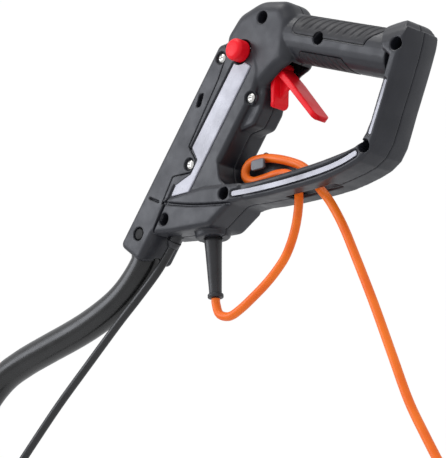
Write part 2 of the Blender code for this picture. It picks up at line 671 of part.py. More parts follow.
def make_cords():
    relief = lathe("strain_relief", ((0, 6.6), (1.6, 7.0), (10, 6.6), (43, 5.2), (46, 5.2), (46.6, 6.4), (49, 6.4),
                                     (49.2, 6.1)), RELIEF_TOP, RELIEF_END, "rubber", 20)
    head = lathe("relief_head", ((0, 9.4), (3, 9.4)), Vector((51.2, 0, 2.6)), Vector((51.38, 0, -0.4)), "rubber", 20)
    neck = rod("relief_neck", Vector((51.3, 0, 1)), Vector((51.62, 0, -11)), 6.4, "rubber", 20)
    join(relief, head, neck)
    mains = cord("mains_cord", CORD_ROUTE, CORD_RADIUS, "orange", 12.0)
    lead = cord("motor_lead", LEAD_ROUTE, LEAD_RADIUS, "lead_jacket", 12.0)
    grommet = lathe("lead_grommet", ((0, 5.0), (6.8, 5.0), (6.8, 6.2), (9, 5.8), (12.3, 4.4)),
                    Vector((11.2, 0, 1.9)), Vector((4.18, 0, -8.35)), "rubber", 16)
    return relief, mains, lead, grommet


def make_plug():
    end = Vector(CORD_ROUTE[-1])
    away = (end - Vector(CORD_ROUTE[-2])).normalized()
    start = end + away * GAP
    rows = ((0, 5.4), (4, 5.8), (18, 7.4), (24, 12), (30, 15.5), (44, 16.5), (47, 16.5), (48, 15.5))
    lathe("mains_plug", rows, start, start + away * 48, "rubber", 24)
    across = Vector((0, 1, 0))
    for side in (-1, 1):
        root = start + away * (48 + GAP) + across * (side * 9.5)
        name = "plug_pin_left" if side < 0 else "plug_pin_right"
        lathe(name, ((0, 2.4), (17, 2.4), (18.6, 1.2)), root, root + away * 18.6, "brass", 12)
    lead_end = Vector(LEAD_ROUTE[-1])
    lead_away = (lead_end - Vector(LEAD_ROUTE[-2])).normalized()
    root = lead_end + lead_away * GAP
    rows = ((0, 5.2), (10, 6.0), (12, 8.6), (30, 9.2), (31, 10.4), (36, 10.4), (37, 8.4), (44, 8.4), (45, 7.4))
    lathe("lead_connector", rows, root, root + lead_away * 45, "rubber", 20)


def make_hook():
    """Cord hook: a plate screwed to the shell's rib, and a lipped post that the cord loops round."""
    outline = fillet(((80, 28.8, 2), (79.5, 44, 9), (90, 54, 14), (113, 54, 11), (141, 31, 3), (141, 28.8, 1)))
    hook = plate("cord_hook", outline, HOOK_FACE, HOOK_BACK, "hook_grey", edge=0.8)
    post = plate("post", fillet(((97, 34.2, 2), (97, 41.6, 2), (116, 41.6, 2), (116, 34.2, 2))), -7, HOOK_FACE + 1,
                 "hook_grey", edge=0.6)
    lip = plate("lip", fillet(((100, 36, 2), (100, 44.6, 2), (114, 44.6, 2), (114, 36, 2))), -7, -4.3, "hook_grey",
                edge=0.6)
    join(hook, post, lip)
    for k, (x, z) in enumerate(HOOK_SCREWS, 1):
        cut(hook, across_rod("recess", x, z, 0, HOOK_FACE + 2.4, HEAD_RADIUS + GAP, sides=16))
        cut(hook, across_rod("hole", x, z, 0, 20, SHANK_RADIUS + GAP, sides=12))
        screw(f"hook_screw_{k}", x, z, HOOK_FACE + 0.2, HOOK_BACK + 4.6)


def make_electrics():
    low, high = column(78, 48.6), column(122, 48.6)
    lathe("capacitor", ((0, 7.6), (1, 8.4), (43, 8.4), (44, 7.6)), Vector((low.x, 0, low.y)),
                Vector((high.x, 0, high.y)), "white_plastic", 16)
    block("terminal_block", (22, -8, 2.5), (43.5, 8, 14.5), "white_plastic", edge=0.6)
    block("cord_clamp", (61.8, -9, 1.2), (70.2, 9, 7), "rubber", edge=0.6)
    for k, y in enumerate((-4.5, 0.0, 4.5)):
        route = ((44.6, y, 9), (50, y, 14 + k), (58, y * 1.6, 14), (66, y * 1.8, 12), (67, y * 1.6, 7.4))
        cord_solid(f"inner_wire_{k + 1}", route, 1.1)


def cord_solid(name, route, radius):
    """Short piece of insulated wire as a closed solid."""
    bm = bmesh.new()
    points = smooth_route(route, 2.5)
    rings = []
    for i, here in enumerate(points):
        ahead = points[min(i + 1, len(points) - 1)] - points[max(i - 1, 0)]
        third = ahead.normalized().cross(Vector((0, 1, 0))).normalized()
        side = third.cross(ahead.normalized())
        rings.append([bm.verts.new(here + side * (radius * math.cos(q)) + third * (radius * math.sin(q)))
                      for q in (2 * math.pi * k / 8 for k in range(8))])
    for low, high in zip(rings, rings[1:]):
        for k in range(8):
            bm.faces.new((low[k], low[(k + 1) % 8], high[(k + 1) % 8], high[k]))
    bm.faces.new(rings[0])
    bm.faces.new(rings[-1])
    return finish(name, bm, "wire_blue")


def main():
    clear_scene()
    make_shell("left_shell", -1)
    make_shell("right_shell", 1)
    make_cover()
    grip_pads("grip_pad")
    make_trigger()
    across_rod("trigger_pin", TRIGGER_PIVOT.x, TRIGGER_PIVOT.z, -15.6, 15.6, PIN_RADIUS, "steel", 32)
    coil("trigger_spring", Vector((TRIGGER_PIVOT.x, -15.2, TRIGGER_PIVOT.z)), Vector((0, 1, 0)), 3.6, 0.55, 5.4, 3)
    make_lock()
    make_switch()
    make_fasteners()
    tube, foot = make_tube()
    make_cords()
    make_plug()
    make_hook()
    make_electrics()
    origin = Vector((foot.x, -4.0, foot.z))
    for thing in bpy.data.objects:
        thing.location -= origin * MM


main()
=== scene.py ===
"""Fine surface of a corded mower's operator handle, drawn round its CAD frame.

Shapes are drawn in millimetres in the handle's own side plane, x towards the operator and z up, and
moved into the row frame by FOOT."""

import math

import bmesh
import bpy
from mathutils import Matrix, Vector


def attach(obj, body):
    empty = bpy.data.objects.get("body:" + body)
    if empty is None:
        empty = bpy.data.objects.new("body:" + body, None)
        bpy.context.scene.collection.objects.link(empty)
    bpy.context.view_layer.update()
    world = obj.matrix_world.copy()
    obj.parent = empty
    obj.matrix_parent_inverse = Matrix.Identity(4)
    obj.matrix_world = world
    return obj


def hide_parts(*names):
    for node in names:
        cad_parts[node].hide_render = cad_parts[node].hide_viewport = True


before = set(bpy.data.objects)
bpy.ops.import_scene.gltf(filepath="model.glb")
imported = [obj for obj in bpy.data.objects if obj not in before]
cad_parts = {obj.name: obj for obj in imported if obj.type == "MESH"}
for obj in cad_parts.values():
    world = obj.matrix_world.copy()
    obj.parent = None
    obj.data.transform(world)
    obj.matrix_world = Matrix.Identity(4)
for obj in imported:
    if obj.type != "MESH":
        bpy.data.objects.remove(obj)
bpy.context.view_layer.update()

MM = 0.001
FOOT = Vector((-256.5552, -4.0, -148.8055))      # row origin, on the tube's flattened end
GAP = 0.3                       # clearance between touching pieces
WALL = 2.5                      # housing wall

# Column: a plane frame with a along the column and d back from its front face.
COLUMN_FOOT = Vector((-39.0, -2.5))
COLUMN_ANGLE = math.radians(52.27)
HALF_COLUMN = 19.0
HALF_LOOP = 21.0
HALF_NECK = 18.5

# Grip: an oval bar from the neck to the rear guard.
GRIP_START = Vector((150.0, 0.0, 136.8))
GRIP_SLOPE = math.radians(-21.16)
GRIP_LENGTH = 108.0
GRIP_TALL = 19.5
GRIP_WIDE = 18.0
PAD_THICK = 1.5

TUBE_RADIUS = 12.7
TUBE_DEPTH = 14.5               # tube axis behind the column's front face
TUBE_TOP = 130.0                # how far the tube reaches up the column

TRIGGER_PIVOT = Vector((128.0, 0.0, 117.0))
TRIGGER_TIP = Vector((170.5, 0.0, 64.5))
TRIGGER_HALF = 9.0
PIN_RADIUS = 1.9
BOLT_RADIUS = 2.6
FOOT_HOLE = 3.3                 # hole for an M6 bolt in the tube's flattened end

BUTTON_CENTRE = Vector((101.5, 0.0, 133.3))
BUTTON_RADIUS = 9.0
BUTTON_OUT = 11.0

HOOK_FACE = 4.2                 # near face of the cord hook's plate
HOOK_BACK = 9.2
HOOK_SCREWS = ((104.5, 49.4), (85.6, 32.6))

CORD_RADIUS = 3.6
LEAD_RADIUS = 3.4
RELIEF_TOP = Vector((51.6, 0.0, -10.0))
RELIEF_END = Vector((54.6, 0.0, -59.0))

# Screws that close the shells: x, z of each deep hole in the left shell.
HOUSING_SCREWS = ((124.0, 157.0), (182.5, 125.0), (262.5, 100.0), (229.5, 26.6), (83.0, 18.4), (15.5, 9.5))
# Screws near the surface: a, d in the column's frame.
COVER_SCREWS = ((92.2, 31.6), (179.5, 9.5), (166.5, 60.0))
HEAD_RADIUS = 3.9
SHANK_RADIUS = 1.8

CORD_ROUTE = (
    (54.65, 0, -59.7), (54.95, 0, -64), (59, 0, -73.2), (70, 0, -76.6), (82, 0, -72.6), (96, 0, -65),
    (110, 0, -56.4), (122, 0, -47), (131.5, 0, -37), (139, 0, -23), (143.5, 0, -8), (145.2, 0, 8),
    (142.6, 0, 20.5), (134, 0, 28.2), (122, 0, 30.4), (108, 0, 29.6), (97, 0, 29.6), (89.3, 0, 33.4),
    (87.6, 0, 39.2), (91.5, 0, 44.8), (99, 0, 46.8), (110, 0, 46.2), (122, 0, 43.2), (136, 0, 38),
    (149, 0, 31.4), (158.5, 0, 22.2), (166.5, 0, 10.5), (177.5, 0, -3), (190, 0, -24), (202, 0, -50),
    (219.5, 0, -90), (236, 0, -131), (251, 0, -168), (266, 0, -196), (281, 0, -222),
)
LEAD_ROUTE = (
    (4, 0, -8.6), (-2, -1, -17), (-11, -4, -30), (-29, -7, -48), (-49.5, -9, -66), (-83, -9, -93.5),
    (-117.5, -9, -122), (-143, -9, -145), (-166, -9, -166.5), (-181, -9, -181),
)
TUBE_ROUTE = (
    (-26, 0, -15.5), (-35.5, 0, -27), (-49, 0, -38.5), (-66, 0, -48), (-91, 0, -57.5), (-116, 0, -64.5),
    (-144, 0, -71), (-176, 0, -79), (-203, 0, -89), (-226, 0, -106), (-243, 0, -129),
)

FINE = 0.75                     # voxel of the moulded shells, mm
CLEAR = 40.0                    # how far a cutter reaches past the middle plane
COLUMN_EDGE = 4.2               # rounding of the column's rims
NECK_EDGE = 11.0
HALF_BULGE = 13.5
POST_RADIUS = 6.4               # posts round the housing screws
POST_REACH = 16.9
COUNTERBORE = 5.2
RECESS = 5.3                    # recesses of the cover screws
TIP_RADIUS = 7.4                # rounding of the trigger arm's end
TAIL_RADIUS = 5.0

CAMERA_BACK = Vector((0.6710, -0.6948, -0.2588)).normalized()
CAMERA_AIM = (70.518, -8.085, -6.403)
CAMERA_AWAY = 1.8
CAMERA_LENS = 176.9

CLOUD_SCALE = 38.0              # noise scales of the finishes, per metre
WEAR_SCALE = 90.0
GRAIN_HEIGHT = 0.0004

# Lights: place, size, power and tint, aimed at the handle's middle.
LIGHT_AIM = (0.35, 0, 0.17)
LIGHTS = {
    "side_sheen": ((-0.86, -1.25, 0.60), 1.0, 12, (0.90, 0.93, 1.0)),
    "top_sheen": ((0.1, -0.5, 1.5), 0.7, 7, (1.0, 0.99, 0.97)),
}


def plain(name, colour, rough):
    made = bpy.data.materials.new(name)
    made.use_nodes = True
    shader = made.node_tree.nodes["Principled BSDF"]
    shader.inputs["Base Color"].default_value = (*colour, 1)
    shader.inputs["Roughness"].default_value = rough
    return made


def finish_of(name, dark, light, rough, grain=900.0, bump=0.08, metal=0.0, gloss=0.5):
    """Surface with cloudy colour, worn roughness and a fine grain that is raised as well as seen."""
    made = plain(name, dark, rough[0])
    nodes, links = made.node_tree.nodes, made.node_tree.links
    shader = nodes["Principled BSDF"]
    shader.inputs["Metallic"].default_value = metal
    shader.inputs["Specular IOR Level"].default_value = gloss
    coords = nodes.new("ShaderNodeTexCoord")

    def noise(scale, detail):
        made_noise = nodes.new("ShaderNodeTexNoise")
        made_noise.inputs["Scale"].default_value = scale
        made_noise.inputs["Detail"].default_value = detail
        links.new(coords.outputs["Object"], made_noise.inputs["Vector"])
        return made_noise.outputs["Fac"]

    def ramp(fac, low, high):
        made_ramp = nodes.new("ShaderNodeMapRange")
        made_ramp.inputs["From Min"].default_value = 0.35
        made_ramp.inputs["From Max"].default_value = 0.65
        made_ramp.inputs["To Min"].default_value = low
        made_ramp.inputs["To Max"].default_value = high
        links.new(fac, made_ramp.inputs["Value"])
        return made_ramp.outputs["Result"]

    tone = nodes.new("ShaderNodeMix")
    tone.data_type = "RGBA"
    tone.inputs["A"].default_value = (*dark, 1)
    tone.inputs["B"].default_value = (*light, 1)
    links.new(ramp(noise(CLOUD_SCALE, 4.0), 0.0, 1.0), tone.inputs["Factor"])
    links.new(tone.outputs["Result"], shader.inputs["Base Color"])
    links.new(ramp(noise(WEAR_SCALE, 6.0), *rough), shader.inputs["Roughness"])
    raised = nodes.new("ShaderNodeBump")
    raised.inputs["Strength"].default_value = bump
    raised.inputs["Distance"].default_value = GRAIN_HEIGHT
    links.new(noise(grain, 3.0), raised.inputs["Height"])
    links.new(raised.outputs["Normal"], shader.inputs["Normal"])
    return made


# Darker and lighter colour, least and most roughness, and what differs from a plain finish.
LOOKS = {
    "housing": ((0.014, 0.015, 0.020), (0.021, 0.022, 0.028), (0.34, 0.46), {"bump": 0.10, "gloss": 0.42}),
    # Glossy finish of the band and strips: the gloss is real, the pale colour is painted highlight.
    "painted_sheen": ((0.24, 0.24, 0.28), (0.40, 0.40, 0.46), (0.24, 0.40), {"bump": 0.03, "gloss": 0.9}),
    "pad": ((0.013, 0.013, 0.016), (0.019, 0.019, 0.023), (0.48, 0.62),
            {"grain": 1400.0, "bump": 0.10, "gloss": 0.4}),
    "red": ((0.78, 0.004, 0.012), (0.86, 0.008, 0.020), (0.30, 0.42), {"bump": 0.03, "gloss": 0.18}),
    "orange": ((0.84, 0.13, 0.006), (0.92, 0.18, 0.010), (0.34, 0.46), {"bump": 0.012, "gloss": 0.30}),
    "tube_paint": ((0.004, 0.004, 0.004), (0.008, 0.008, 0.008), (0.22, 0.30),
                   {"grain": 240.0, "bump": 0.002}),
    "steel": ((0.62, 0.61, 0.58), (0.72, 0.71, 0.68), (0.18, 0.36), {"bump": 0.05, "metal": 1.0}),
    "black_steel": ((0.010, 0.010, 0.010), (0.02, 0.02, 0.02), (0.5, 0.7), {"bump": 0.05, "gloss": 0.2}),
    "rubber": ((0.010, 0.010, 0.012), (0.017, 0.017, 0.020), (0.36, 0.5), {"bump": 0.07}),
    "white_plastic": ((0.70, 0.69, 0.65), (0.78, 0.77, 0.73), (0.4, 0.55), {}),
    "brass": ((0.66, 0.48, 0.20), (0.74, 0.56, 0.25), (0.2, 0.34), {"metal": 1.0}),
    "hook_grey": ((0.085, 0.09, 0.105), (0.11, 0.115, 0.13), (0.34, 0.48), {}),
    "lead_jacket": ((0.007, 0.007, 0.008), (0.012, 0.012, 0.013), (0.28, 0.40), {}),
    "wire_blue": ((0.02, 0.08, 0.38), (0.03, 0.11, 0.46), (0.4, 0.55), {}),
}
FINISHES = {name: finish_of(name, *look[:3], **look[3]) for name, look in LOOKS.items()}


def place(point):
    """Row-frame place, in metres, of a point drawn in millimetres."""
    return (Vector(point) - FOOT) * MM


def make_camera():
    data = bpy.data.cameras.new("camera")
    data.lens = CAMERA_LENS
    data.sensor_width = 36.0
    cam = bpy.data.objects.new("camera", data)
    bpy.context.collection.objects.link(cam)
    cam.location = place(CAMERA_AIM) + CAMERA_BACK * CAMERA_AWAY
    cam.rotation_mode = "QUATERNION"
    cam.rotation_quaternion = (-CAMERA_BACK).to_track_quat("-Z", "Y")
    bpy.context.scene.camera = cam


def area_light(name, where, size, power, tint):
    data = bpy.data.lights.new(name, "AREA")
    data.shape = "SQUARE"
    data.size = size
    data.energy = power
    data.color = tint
    lamp = bpy.data.objects.new(name, data)
    bpy.context.collection.objects.link(lamp)
    lamp.location = where
    lamp.rotation_mode = "QUATERNION"
    lamp.rotation_quaternion = (Vector(LIGHT_AIM) - Vector(where)).to_track_quat("-Z", "Y")


def make_stage():
    """Pale floor, white backdrop that lights nothing, soft sky and two soft lights."""
    bpy.ops.mesh.primitive_plane_add(size=8, location=(0.3, 0, -0.75))
    floor = bpy.context.object
    floor.name = "floor"
    floor.data.materials.append(plain("floor_pale", (0.8, 0.8, 0.8), 0.6))
    bpy.ops.mesh.primitive_uv_sphere_add(segments=48, ring_count=24, radius=9, location=(0.3, 0, 0))
    backdrop = bpy.context.object
    backdrop.name = "backdrop"
    white = plain("backdrop_white", (0, 0, 0), 1.0)
    shader = white.node_tree.nodes["Principled BSDF"]
    shader.inputs["Emission Color"].default_value = (1, 1, 1, 1)
    shader.inputs["Emission Strength"].default_value = 1.0
    backdrop.data.materials.append(white)
    backdrop.visible_diffuse = False
    backdrop.visible_glossy = False
    backdrop.visible_shadow = False
    world = bpy.data.worlds.new("studio")
    world.use_nodes = True
    world.node_tree.nodes["Background"].inputs["Color"].default_value = (0.97, 0.98, 1, 1)
    world.node_tree.nodes["Background"].inputs["Strength"].default_value = 0.85
    bpy.context.scene.world = world
    bpy.context.scene.view_settings.view_transform = "Standard"
    for name, (where, size, power, tint) in LIGHTS.items():
        area_light(name, where, size, power, tint)


def column(a, d):
    """Side-plane x, z of a point a up the column and d behind its front face."""
    along = Vector((math.cos(COLUMN_ANGLE), math.sin(COLUMN_ANGLE)))
    back = Vector((math.sin(COLUMN_ANGLE), -math.cos(COLUMN_ANGLE)))
    return COLUMN_FOOT + along * a + back * d


def grip_point(s, angle, tall, wide):
    """Point s along the grip, at an angle up from its left side."""
    along = Vector((math.cos(GRIP_SLOPE), 0, math.sin(GRIP_SLOPE)))
    up = Vector((-math.sin(GRIP_SLOPE), 0, math.cos(GRIP_SLOPE)))
    round_grip = up * (tall * math.sin(angle)) + Vector((0, -wide * math.cos(angle), 0))
    return GRIP_START + along * s + round_grip


def fillet(corners, steps=8):
    """Closed outline from (x, z, radius) corners, each radius drawn as an arc."""
    outline = []
    count = len(corners)
    for i, (x, z, radius) in enumerate(corners):
        here = Vector((x, z))
        to_last = Vector(corners[i - 1][:2]) - here
        to_next = Vector(corners[(i + 1) % count][:2]) - here
        half = to_last.angle(to_next) / 2
        if radius <= 0 or half > math.radians(88):
            outline.append(here)
            continue
        reach = min(radius / math.tan(half), 0.48 * to_last.length, 0.48 * to_next.length)
        radius = reach * math.tan(half)
        between = (to_last.normalized() + to_next.normalized()).normalized()
        centre = here + between * (radius / math.sin(half))
        start = here + to_last.normalized() * reach - centre
        turn = start.angle_signed(here + to_next.normalized() * reach - centre)
        for k in range(steps + 1):
            outline.append(centre + Matrix.Rotation(-turn * k / steps, 2) @ start)
    return outline


def inset(outline, wall):
    """The same outline moved inward by the wall thickness."""
    area = sum(p.cross(q) for p, q in zip(outline, outline[1:] + outline[:1]))
    side = 1.0 if area > 0 else -1.0
    moved = []
    for i, here in enumerate(outline):
        before = (here - outline[i - 1]).normalized()
        after = (outline[(i + 1) % len(outline)] - here).normalized()
        normal = Vector((-before.y - after.y, before.x + after.x)).normalized() * side
        stretch = max(0.4, math.sqrt((1 + before.dot(after)) / 2))
        moved.append(here + normal * (wall / stretch))
    return moved


def finish(name, bm, slot):
    """Object from a bmesh drawn in millimetres."""
    bmesh.ops.remove_doubles(bm, verts=bm.verts, dist=0.001)
    bmesh.ops.recalc_face_normals(bm, faces=bm.faces)
    bm.transform(Matrix.Scale(MM, 4) @ Matrix.Translation(-FOOT))
    mesh = bpy.data.meshes.new(name)
    bm.to_mesh(mesh)
    bm.free()
    made = bpy.data.objects.new(name, mesh)
    bpy.context.collection.objects.link(made)
    mesh.materials.append(FINISHES[slot])
    return made


def prism(corners, move):
    """New bmesh with a face on the corners, drawn out along move."""
    bm = bmesh.new()
    face = bm.faces.new([bm.verts.new(p) for p in corners])
    grown = bmesh.ops.extrude_face_region(bm, geom=[face])
    moved = [v for v in grown["geom"] if isinstance(v, bmesh.types.BMVert)]
    bmesh.ops.translate(bm, verts=moved, vec=move)
    return bm


def stitch(bm, rings):
    """Skin through rings of vertices, closed at both ends."""
    count = len(rings[0])
    for low, high in zip(rings, rings[1:]):
        for k in range(count):
            bm.faces.new((low[k], low[(k + 1) % count], high[(k + 1) % count], high[k]))
    bm.faces.new(rings[0])
    bm.faces.new(rings[-1])


def shade(thing, angle=35):
    thing.data.shade_smooth()
    thing.data.set_sharp_from_angle(angle=math.radians(angle))
    return thing


def moulded(thing, voxel=FINE, rounds=5, keep=0.4):
    """Turns sharp joined shapes into one soft moulded surface."""
    remesh = thing.modifiers.new("remesh", "REMESH")
    remesh.mode = "VOXEL"
    remesh.voxel_size = voxel * MM
    remesh.adaptivity = 0.0
    soften = thing.modifiers.new("soften", "SMOOTH")
    soften.factor = 0.5
    soften.iterations = rounds
    thin = thing.modifiers.new("thin", "DECIMATE")
    thin.ratio = keep
    bpy.context.view_layer.update()
    shaped = thing.evaluated_get(bpy.context.evaluated_depsgraph_get())
    mesh = bpy.data.meshes.new_from_object(shaped)
    slot = thing.data.materials[0]
    thing.modifiers.clear()
    thing.data = mesh
    mesh.materials.clear()
    mesh.materials.append(slot)
    mesh.shade_smooth()
    return thing


def done(thing, body, slot, *nodes):
    """Rides on its body and stands for its CAD nodes."""
    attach(thing, body)
    if nodes:
        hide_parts(*nodes)
    return thing


def plate(name, outline, low, high, slot="housing", edge=0.0, steps=2):
    """Side-plane outline with a thickness from y low to y high and rounded rims."""
    bm = prism([(p[0], low, p[1]) for p in outline], (0, high - low, 0))
    if edge > 0:
        rims = [e for e in bm.edges if abs(e.verts[0].co.y - e.verts[1].co.y) < 0.01]
        bmesh.ops.bevel(bm, geom=rims, offset=edge, segments=steps, profile=0.5, affect="EDGES")
    return finish(name, bm, slot)


def lathe(name, profile, start, end, slot="housing", sides=48, squeeze=1.0):
    """Turned piece: profile rows of (distance from start, radius) about the line start to end."""
    bm = bmesh.new()
    axis = (end - start).normalized()
    across = axis.orthogonal().normalized() if abs(axis.y) > 0.9 else Vector((0, 1, 0))
    third = axis.cross(across).normalized()
    across = third.cross(axis)
    rings = []
    for distance, radius in profile:
        ring = []
        for k in range(sides):
            turn = 2 * math.pi * k / sides
            offset = across * (radius * squeeze * math.cos(turn)) + third * (radius * math.sin(turn))
            ring.append(bm.verts.new(start + axis * distance + offset))
        rings.append(ring)
    stitch(bm, rings)
    return shade(finish(name, bm, slot))


def rod(name, start, end, radius, slot="housing", sides=48, squeeze=1.0):
    length = (end - start).length
    return lathe(name, ((0, radius), (length, radius)), start, end, slot, sides, squeeze)


def across_rod(name, x, z, low, high, radius, slot="housing", sides=40):
    """Rod along y."""
    return rod(name, Vector((x, low, z)), Vector((x, high, z)), radius, slot, sides)


def block(name, low, high):
    bm = bmesh.new()
    bmesh.ops.create_cube(bm, size=1.0)
    size = Vector(high) - Vector(low)
    bm.transform(Matrix.Translation((Vector(high) + Vector(low)) / 2) @ Matrix.Diagonal((*size, 1.0)))
    return finish(name, bm, "housing")


def combine(target, tool, operation):
    """Boolean of two objects, applied at once; the tool is used up."""
    step = target.modifiers.new("join", "BOOLEAN")
    step.operation = operation
    step.solver = "EXACT"
    step.object = tool
    bpy.context.view_layer.update()
    shaped = target.evaluated_get(bpy.context.evaluated_depsgraph_get())
    mesh = bpy.data.meshes.new_from_object(shaped)
    target.modifiers.clear()
    old = target.data
    target.data = mesh
    bpy.data.meshes.remove(old)
    bpy.data.objects.remove(tool, do_unlink=True)
    return target


def cut(target, tool):
    return combine(target, tool, "DIFFERENCE")


def join(target, *tools):
    for tool in tools:
        combine(target, tool, "UNION")
    return target


def smooth_route(points, spacing):
    """Evenly spaced points on a smooth curve through the route's points."""
    knots = [Vector(p) for p in points]
    knots = [2 * knots[0] - knots[1]] + knots + [2 * knots[-1] - knots[-2]]
    fine = []
    for i in range(1, len(knots) - 2):
        for k in range(20):
            t = k / 20
            p0, p1, p2, p3 = knots[i - 1:i + 3]
            fine.append(0.5 * (2 * p1 + (p2 - p0) * t + (2 * p0 - 5 * p1 + 4 * p2 - p3) * t * t
                               + (3 * p1 - p0 - 3 * p2 + p3) * t ** 3))
    fine.append(knots[-2])
    total = sum((q - p).length for p, q in zip(fine, fine[1:]))
    count = round(total / spacing)
    spaced = [fine[0]]
    walked = 0.0
    goal = total / count
    for p, q in zip(fine, fine[1:]):
        step = (q - p).length
        while walked + step >= goal - 1e-6 and len(spaced) < count:
            spaced.append(p.lerp(q, (goal - walked) / step))
            goal += total / count
        walked += step
    spaced.append(fine[-1])
    return spaced


def column_outline():
    corners = ((0, 0, 5), (187, 0, 6), (201, 16, 12), (203, 38, 14), (190, 58, 14), (177, 67.5, 10),
               (163, 72, 6), (149, 72, 5), (138, 60.5, 4), (100, 61, 0), (72, 70, 0), (36, 40, 0),
               (27, 29, 0), (0, 29, 5))
    return fillet([(*column(a, d), r) for a, d, r in corners])


def cover_outline(gap):
    """Front part of the column, up to its seam; gap opens the seam."""
    corners = ((-6, -6, 0), (194, -6, 0), (188, 12 - gap, 0), (179.6, 15.3 - gap, 3), (162.7, 18.3 - gap, 3),
               (104.1 - gap, 22.3 - gap, 2), (98.3 - gap, 37 - gap, 3), (87.8 + gap, 37.9 - gap, 3),
               (75.7 + gap, 21.1 - gap, 3), (53.8, 23.6 - gap, 4), (26.5, 28.8 - gap, 0), (26.2, 36, 0),
               (-6, 36, 0))
    return fillet([(*column(a, d), r) for a, d, r in corners], 3)


def skirt_outline():
    return fillet(((4, 27, 0), (-1, 0.3, 0), (24, -2.6, 30), (66, -5, 12), (90, 9.5, 8), (104, 10, 0),
                   (100, 24, 0), (60, 29, 0)))


def loop_outline():
    """Lower bar and rear guard."""
    below = ((76, 12, 0), (115, 8.6, 0), (150, 7.6, 60), (185, 8, 60), (235.5, 15.6, 11), (271.5, 104, 8))
    top = ((271, 119, 8), (258, 122.5, 5), (249, 118, 3), (257, 98, 0), (246, 68, 40), (229.5, 28.2, 6))
    above = ((200, 25.2, 60), (165, 22.6, 60), (130, 22.2, 60), (84, 26.5, 0), (76, 27, 0))
    return fillet(below + top + above)


def fillet_root():
    """Web that rounds the corner between the column and the lower bar."""
    return fillet(((60, 16, 0), (98, 14, 0), (98, 24.4, 0), (77.5, 27, 11), (74.6, 48, 0), (60, 40, 0)))


def grip_rod(name, grow=0.0, start=-8.0, length=GRIP_LENGTH):
    along = Vector((math.cos(GRIP_SLOPE), 0, math.sin(GRIP_SLOPE)))
    ratio = (GRIP_WIDE + grow) / (GRIP_TALL + grow)
    return rod(name, GRIP_START + along * start, GRIP_START + along * length, GRIP_TALL + grow, sides=24,
               squeeze=ratio)


def guard_top_cutters():
    """Wedges that round the guard's two upper corners when it is seen from behind."""
    made = []
    for side in (-1, 1):
        arc = [(side * (HALF_LOOP - 17 + 17 * math.cos(t)), 98 + 24 * math.sin(t))
               for t in (math.radians(90) * k / 6 for k in range(7))]
        ring = arc + [(side * 2, 140), (side * 30, 140), (side * 30, 98)]
        made.append(finish("guard_corner", prism([(236, y, z) for y, z in ring], (60, 0, 0)), "housing"))
    return made


def tube_line(a):
    point = column(a, TUBE_DEPTH)
    return Vector((point.x, 0, point.y))


def shell_cutters():
    """Openings that the two shells share."""
    trigger_gap = plate("trigger_gap", fillet(((123, 96, 0), (123, 110, 0), (118.5, 116, 0), (118.5, 131, 0),
                        (136, 131, 0), (148, 118, 0), (148, 108, 0), (134, 99, 0))), -10.4, 10.4)
    slot = fillet(((136.5, 2, 0), (136.5, 30, 0), (187, 30, 0), (187, 2, 0)))
    mouth = fillet(((129, 17, 0), (129, 30, 0), (187, 30, 0), (187, 17, 0)))
    cord_slot = plate("cord_slot", slot, -6.0, 6.0)
    slot_mouth = plate("slot_mouth", mouth, -15.5, 15.5)
    relief_hole = lathe("relief_hole", ((0, 7.4), (14, 7.4)), Vector((51.2, 0, 2)), Vector((51.8, 0, -12)),
                        sides=20)
    lead_hole = rod("lead_hole", Vector((12.4, 0, 3.5)), Vector((1.4, 0, -12.1)), 5.3, sides=16)
    bore = rod("bore", tube_line(-20), tube_line(TUBE_TOP + 1), TUBE_RADIUS + GAP, sides=24)
    return [trigger_gap, cord_slot, slot_mouth, relief_hole, lead_hole, bore]


def hook_rib():
    """Rib of the right shell that carries the cord hook in the corner of the hand opening."""
    outline = fillet(((70, 18, 0), (70, 44, 0), (88, 50.5, 12), (111, 51.5, 10), (140, 30, 4), (140, 20, 0)))
    return plate("hook_rib", outline, HOOK_BACK + GAP, HOOK_BACK + 5)


def neck_shape():
    return fillet(((80, 128, 0), (80.5, 152, 13), (96, 168, 18), (120, 173.6, 26), (147, 167, 13),
                   (155, 150, 13), (151.5, 128, 0), (150, 114, 12), (138, 110, 12), (122, 100, 12),
                   (100, 92, 0)))


def column_shape():
    """Column without the trigger's bulge, which stands narrower behind it."""
    corners = ((0, 0, 5), (187, 0, 6), (201, 16, 12), (203, 38, 14), (190, 56, 14), (172, 61, 10),
               (100, 61, 0), (72, 70, 0), (36, 40, 0), (27, 29, 0), (0, 29, 5))
    return fillet([(*column(a, d), r) for a, d, r in corners])


def bulge_shape():
    corners = ((128, 46, 0), (133, 59, 4), (138, 61, 5), (149, 72, 6), (163, 72, 7), (178, 66, 8),
               (186, 48, 0))
    return fillet([(*column(a, d), r) for a, d, r in corners])


STRAP = (
    # x, z of the middle, inner half, outer half, crown of the outer face
    (74, 20.5, 7.0, 7.0, 0), (95, 17.5, 6.6, 7.4, 0), (115, 15.4, 6.9, 6.9, 0), (135, 14.9, 7.2, 7.2, 0),
    (152, 15.0, 7.4, 7.4, 0), (170, 15.4, 7.7, 7.7, 0), (186, 16.1, 7.9, 7.9, 0), (200, 17.6, 7.7, 7.4, 0.3),
    (212, 19.4, 7.2, 6.8, 0.8), (222, 22.0, 6.4, 6.4, 1.4), (229.5, 26.2, 5.6, 6.0, 2.0),
    (235.0, 33.2, 5.2, 5.4, 2.6), (240.2, 44, 4.8, 4.6, 3.0), (245.8, 57, 4.8, 4.2, 3.2),
    (251.0, 69, 4.8, 4.2, 3.4), (256.2, 81, 4.8, 4.2, 3.4), (261.2, 93, 5.0, 4.2, 3.4),
    (265.4, 104, 5.4, 4.2, 3.2), (268.4, 113, 6.2, 4.0, 2.6),
)


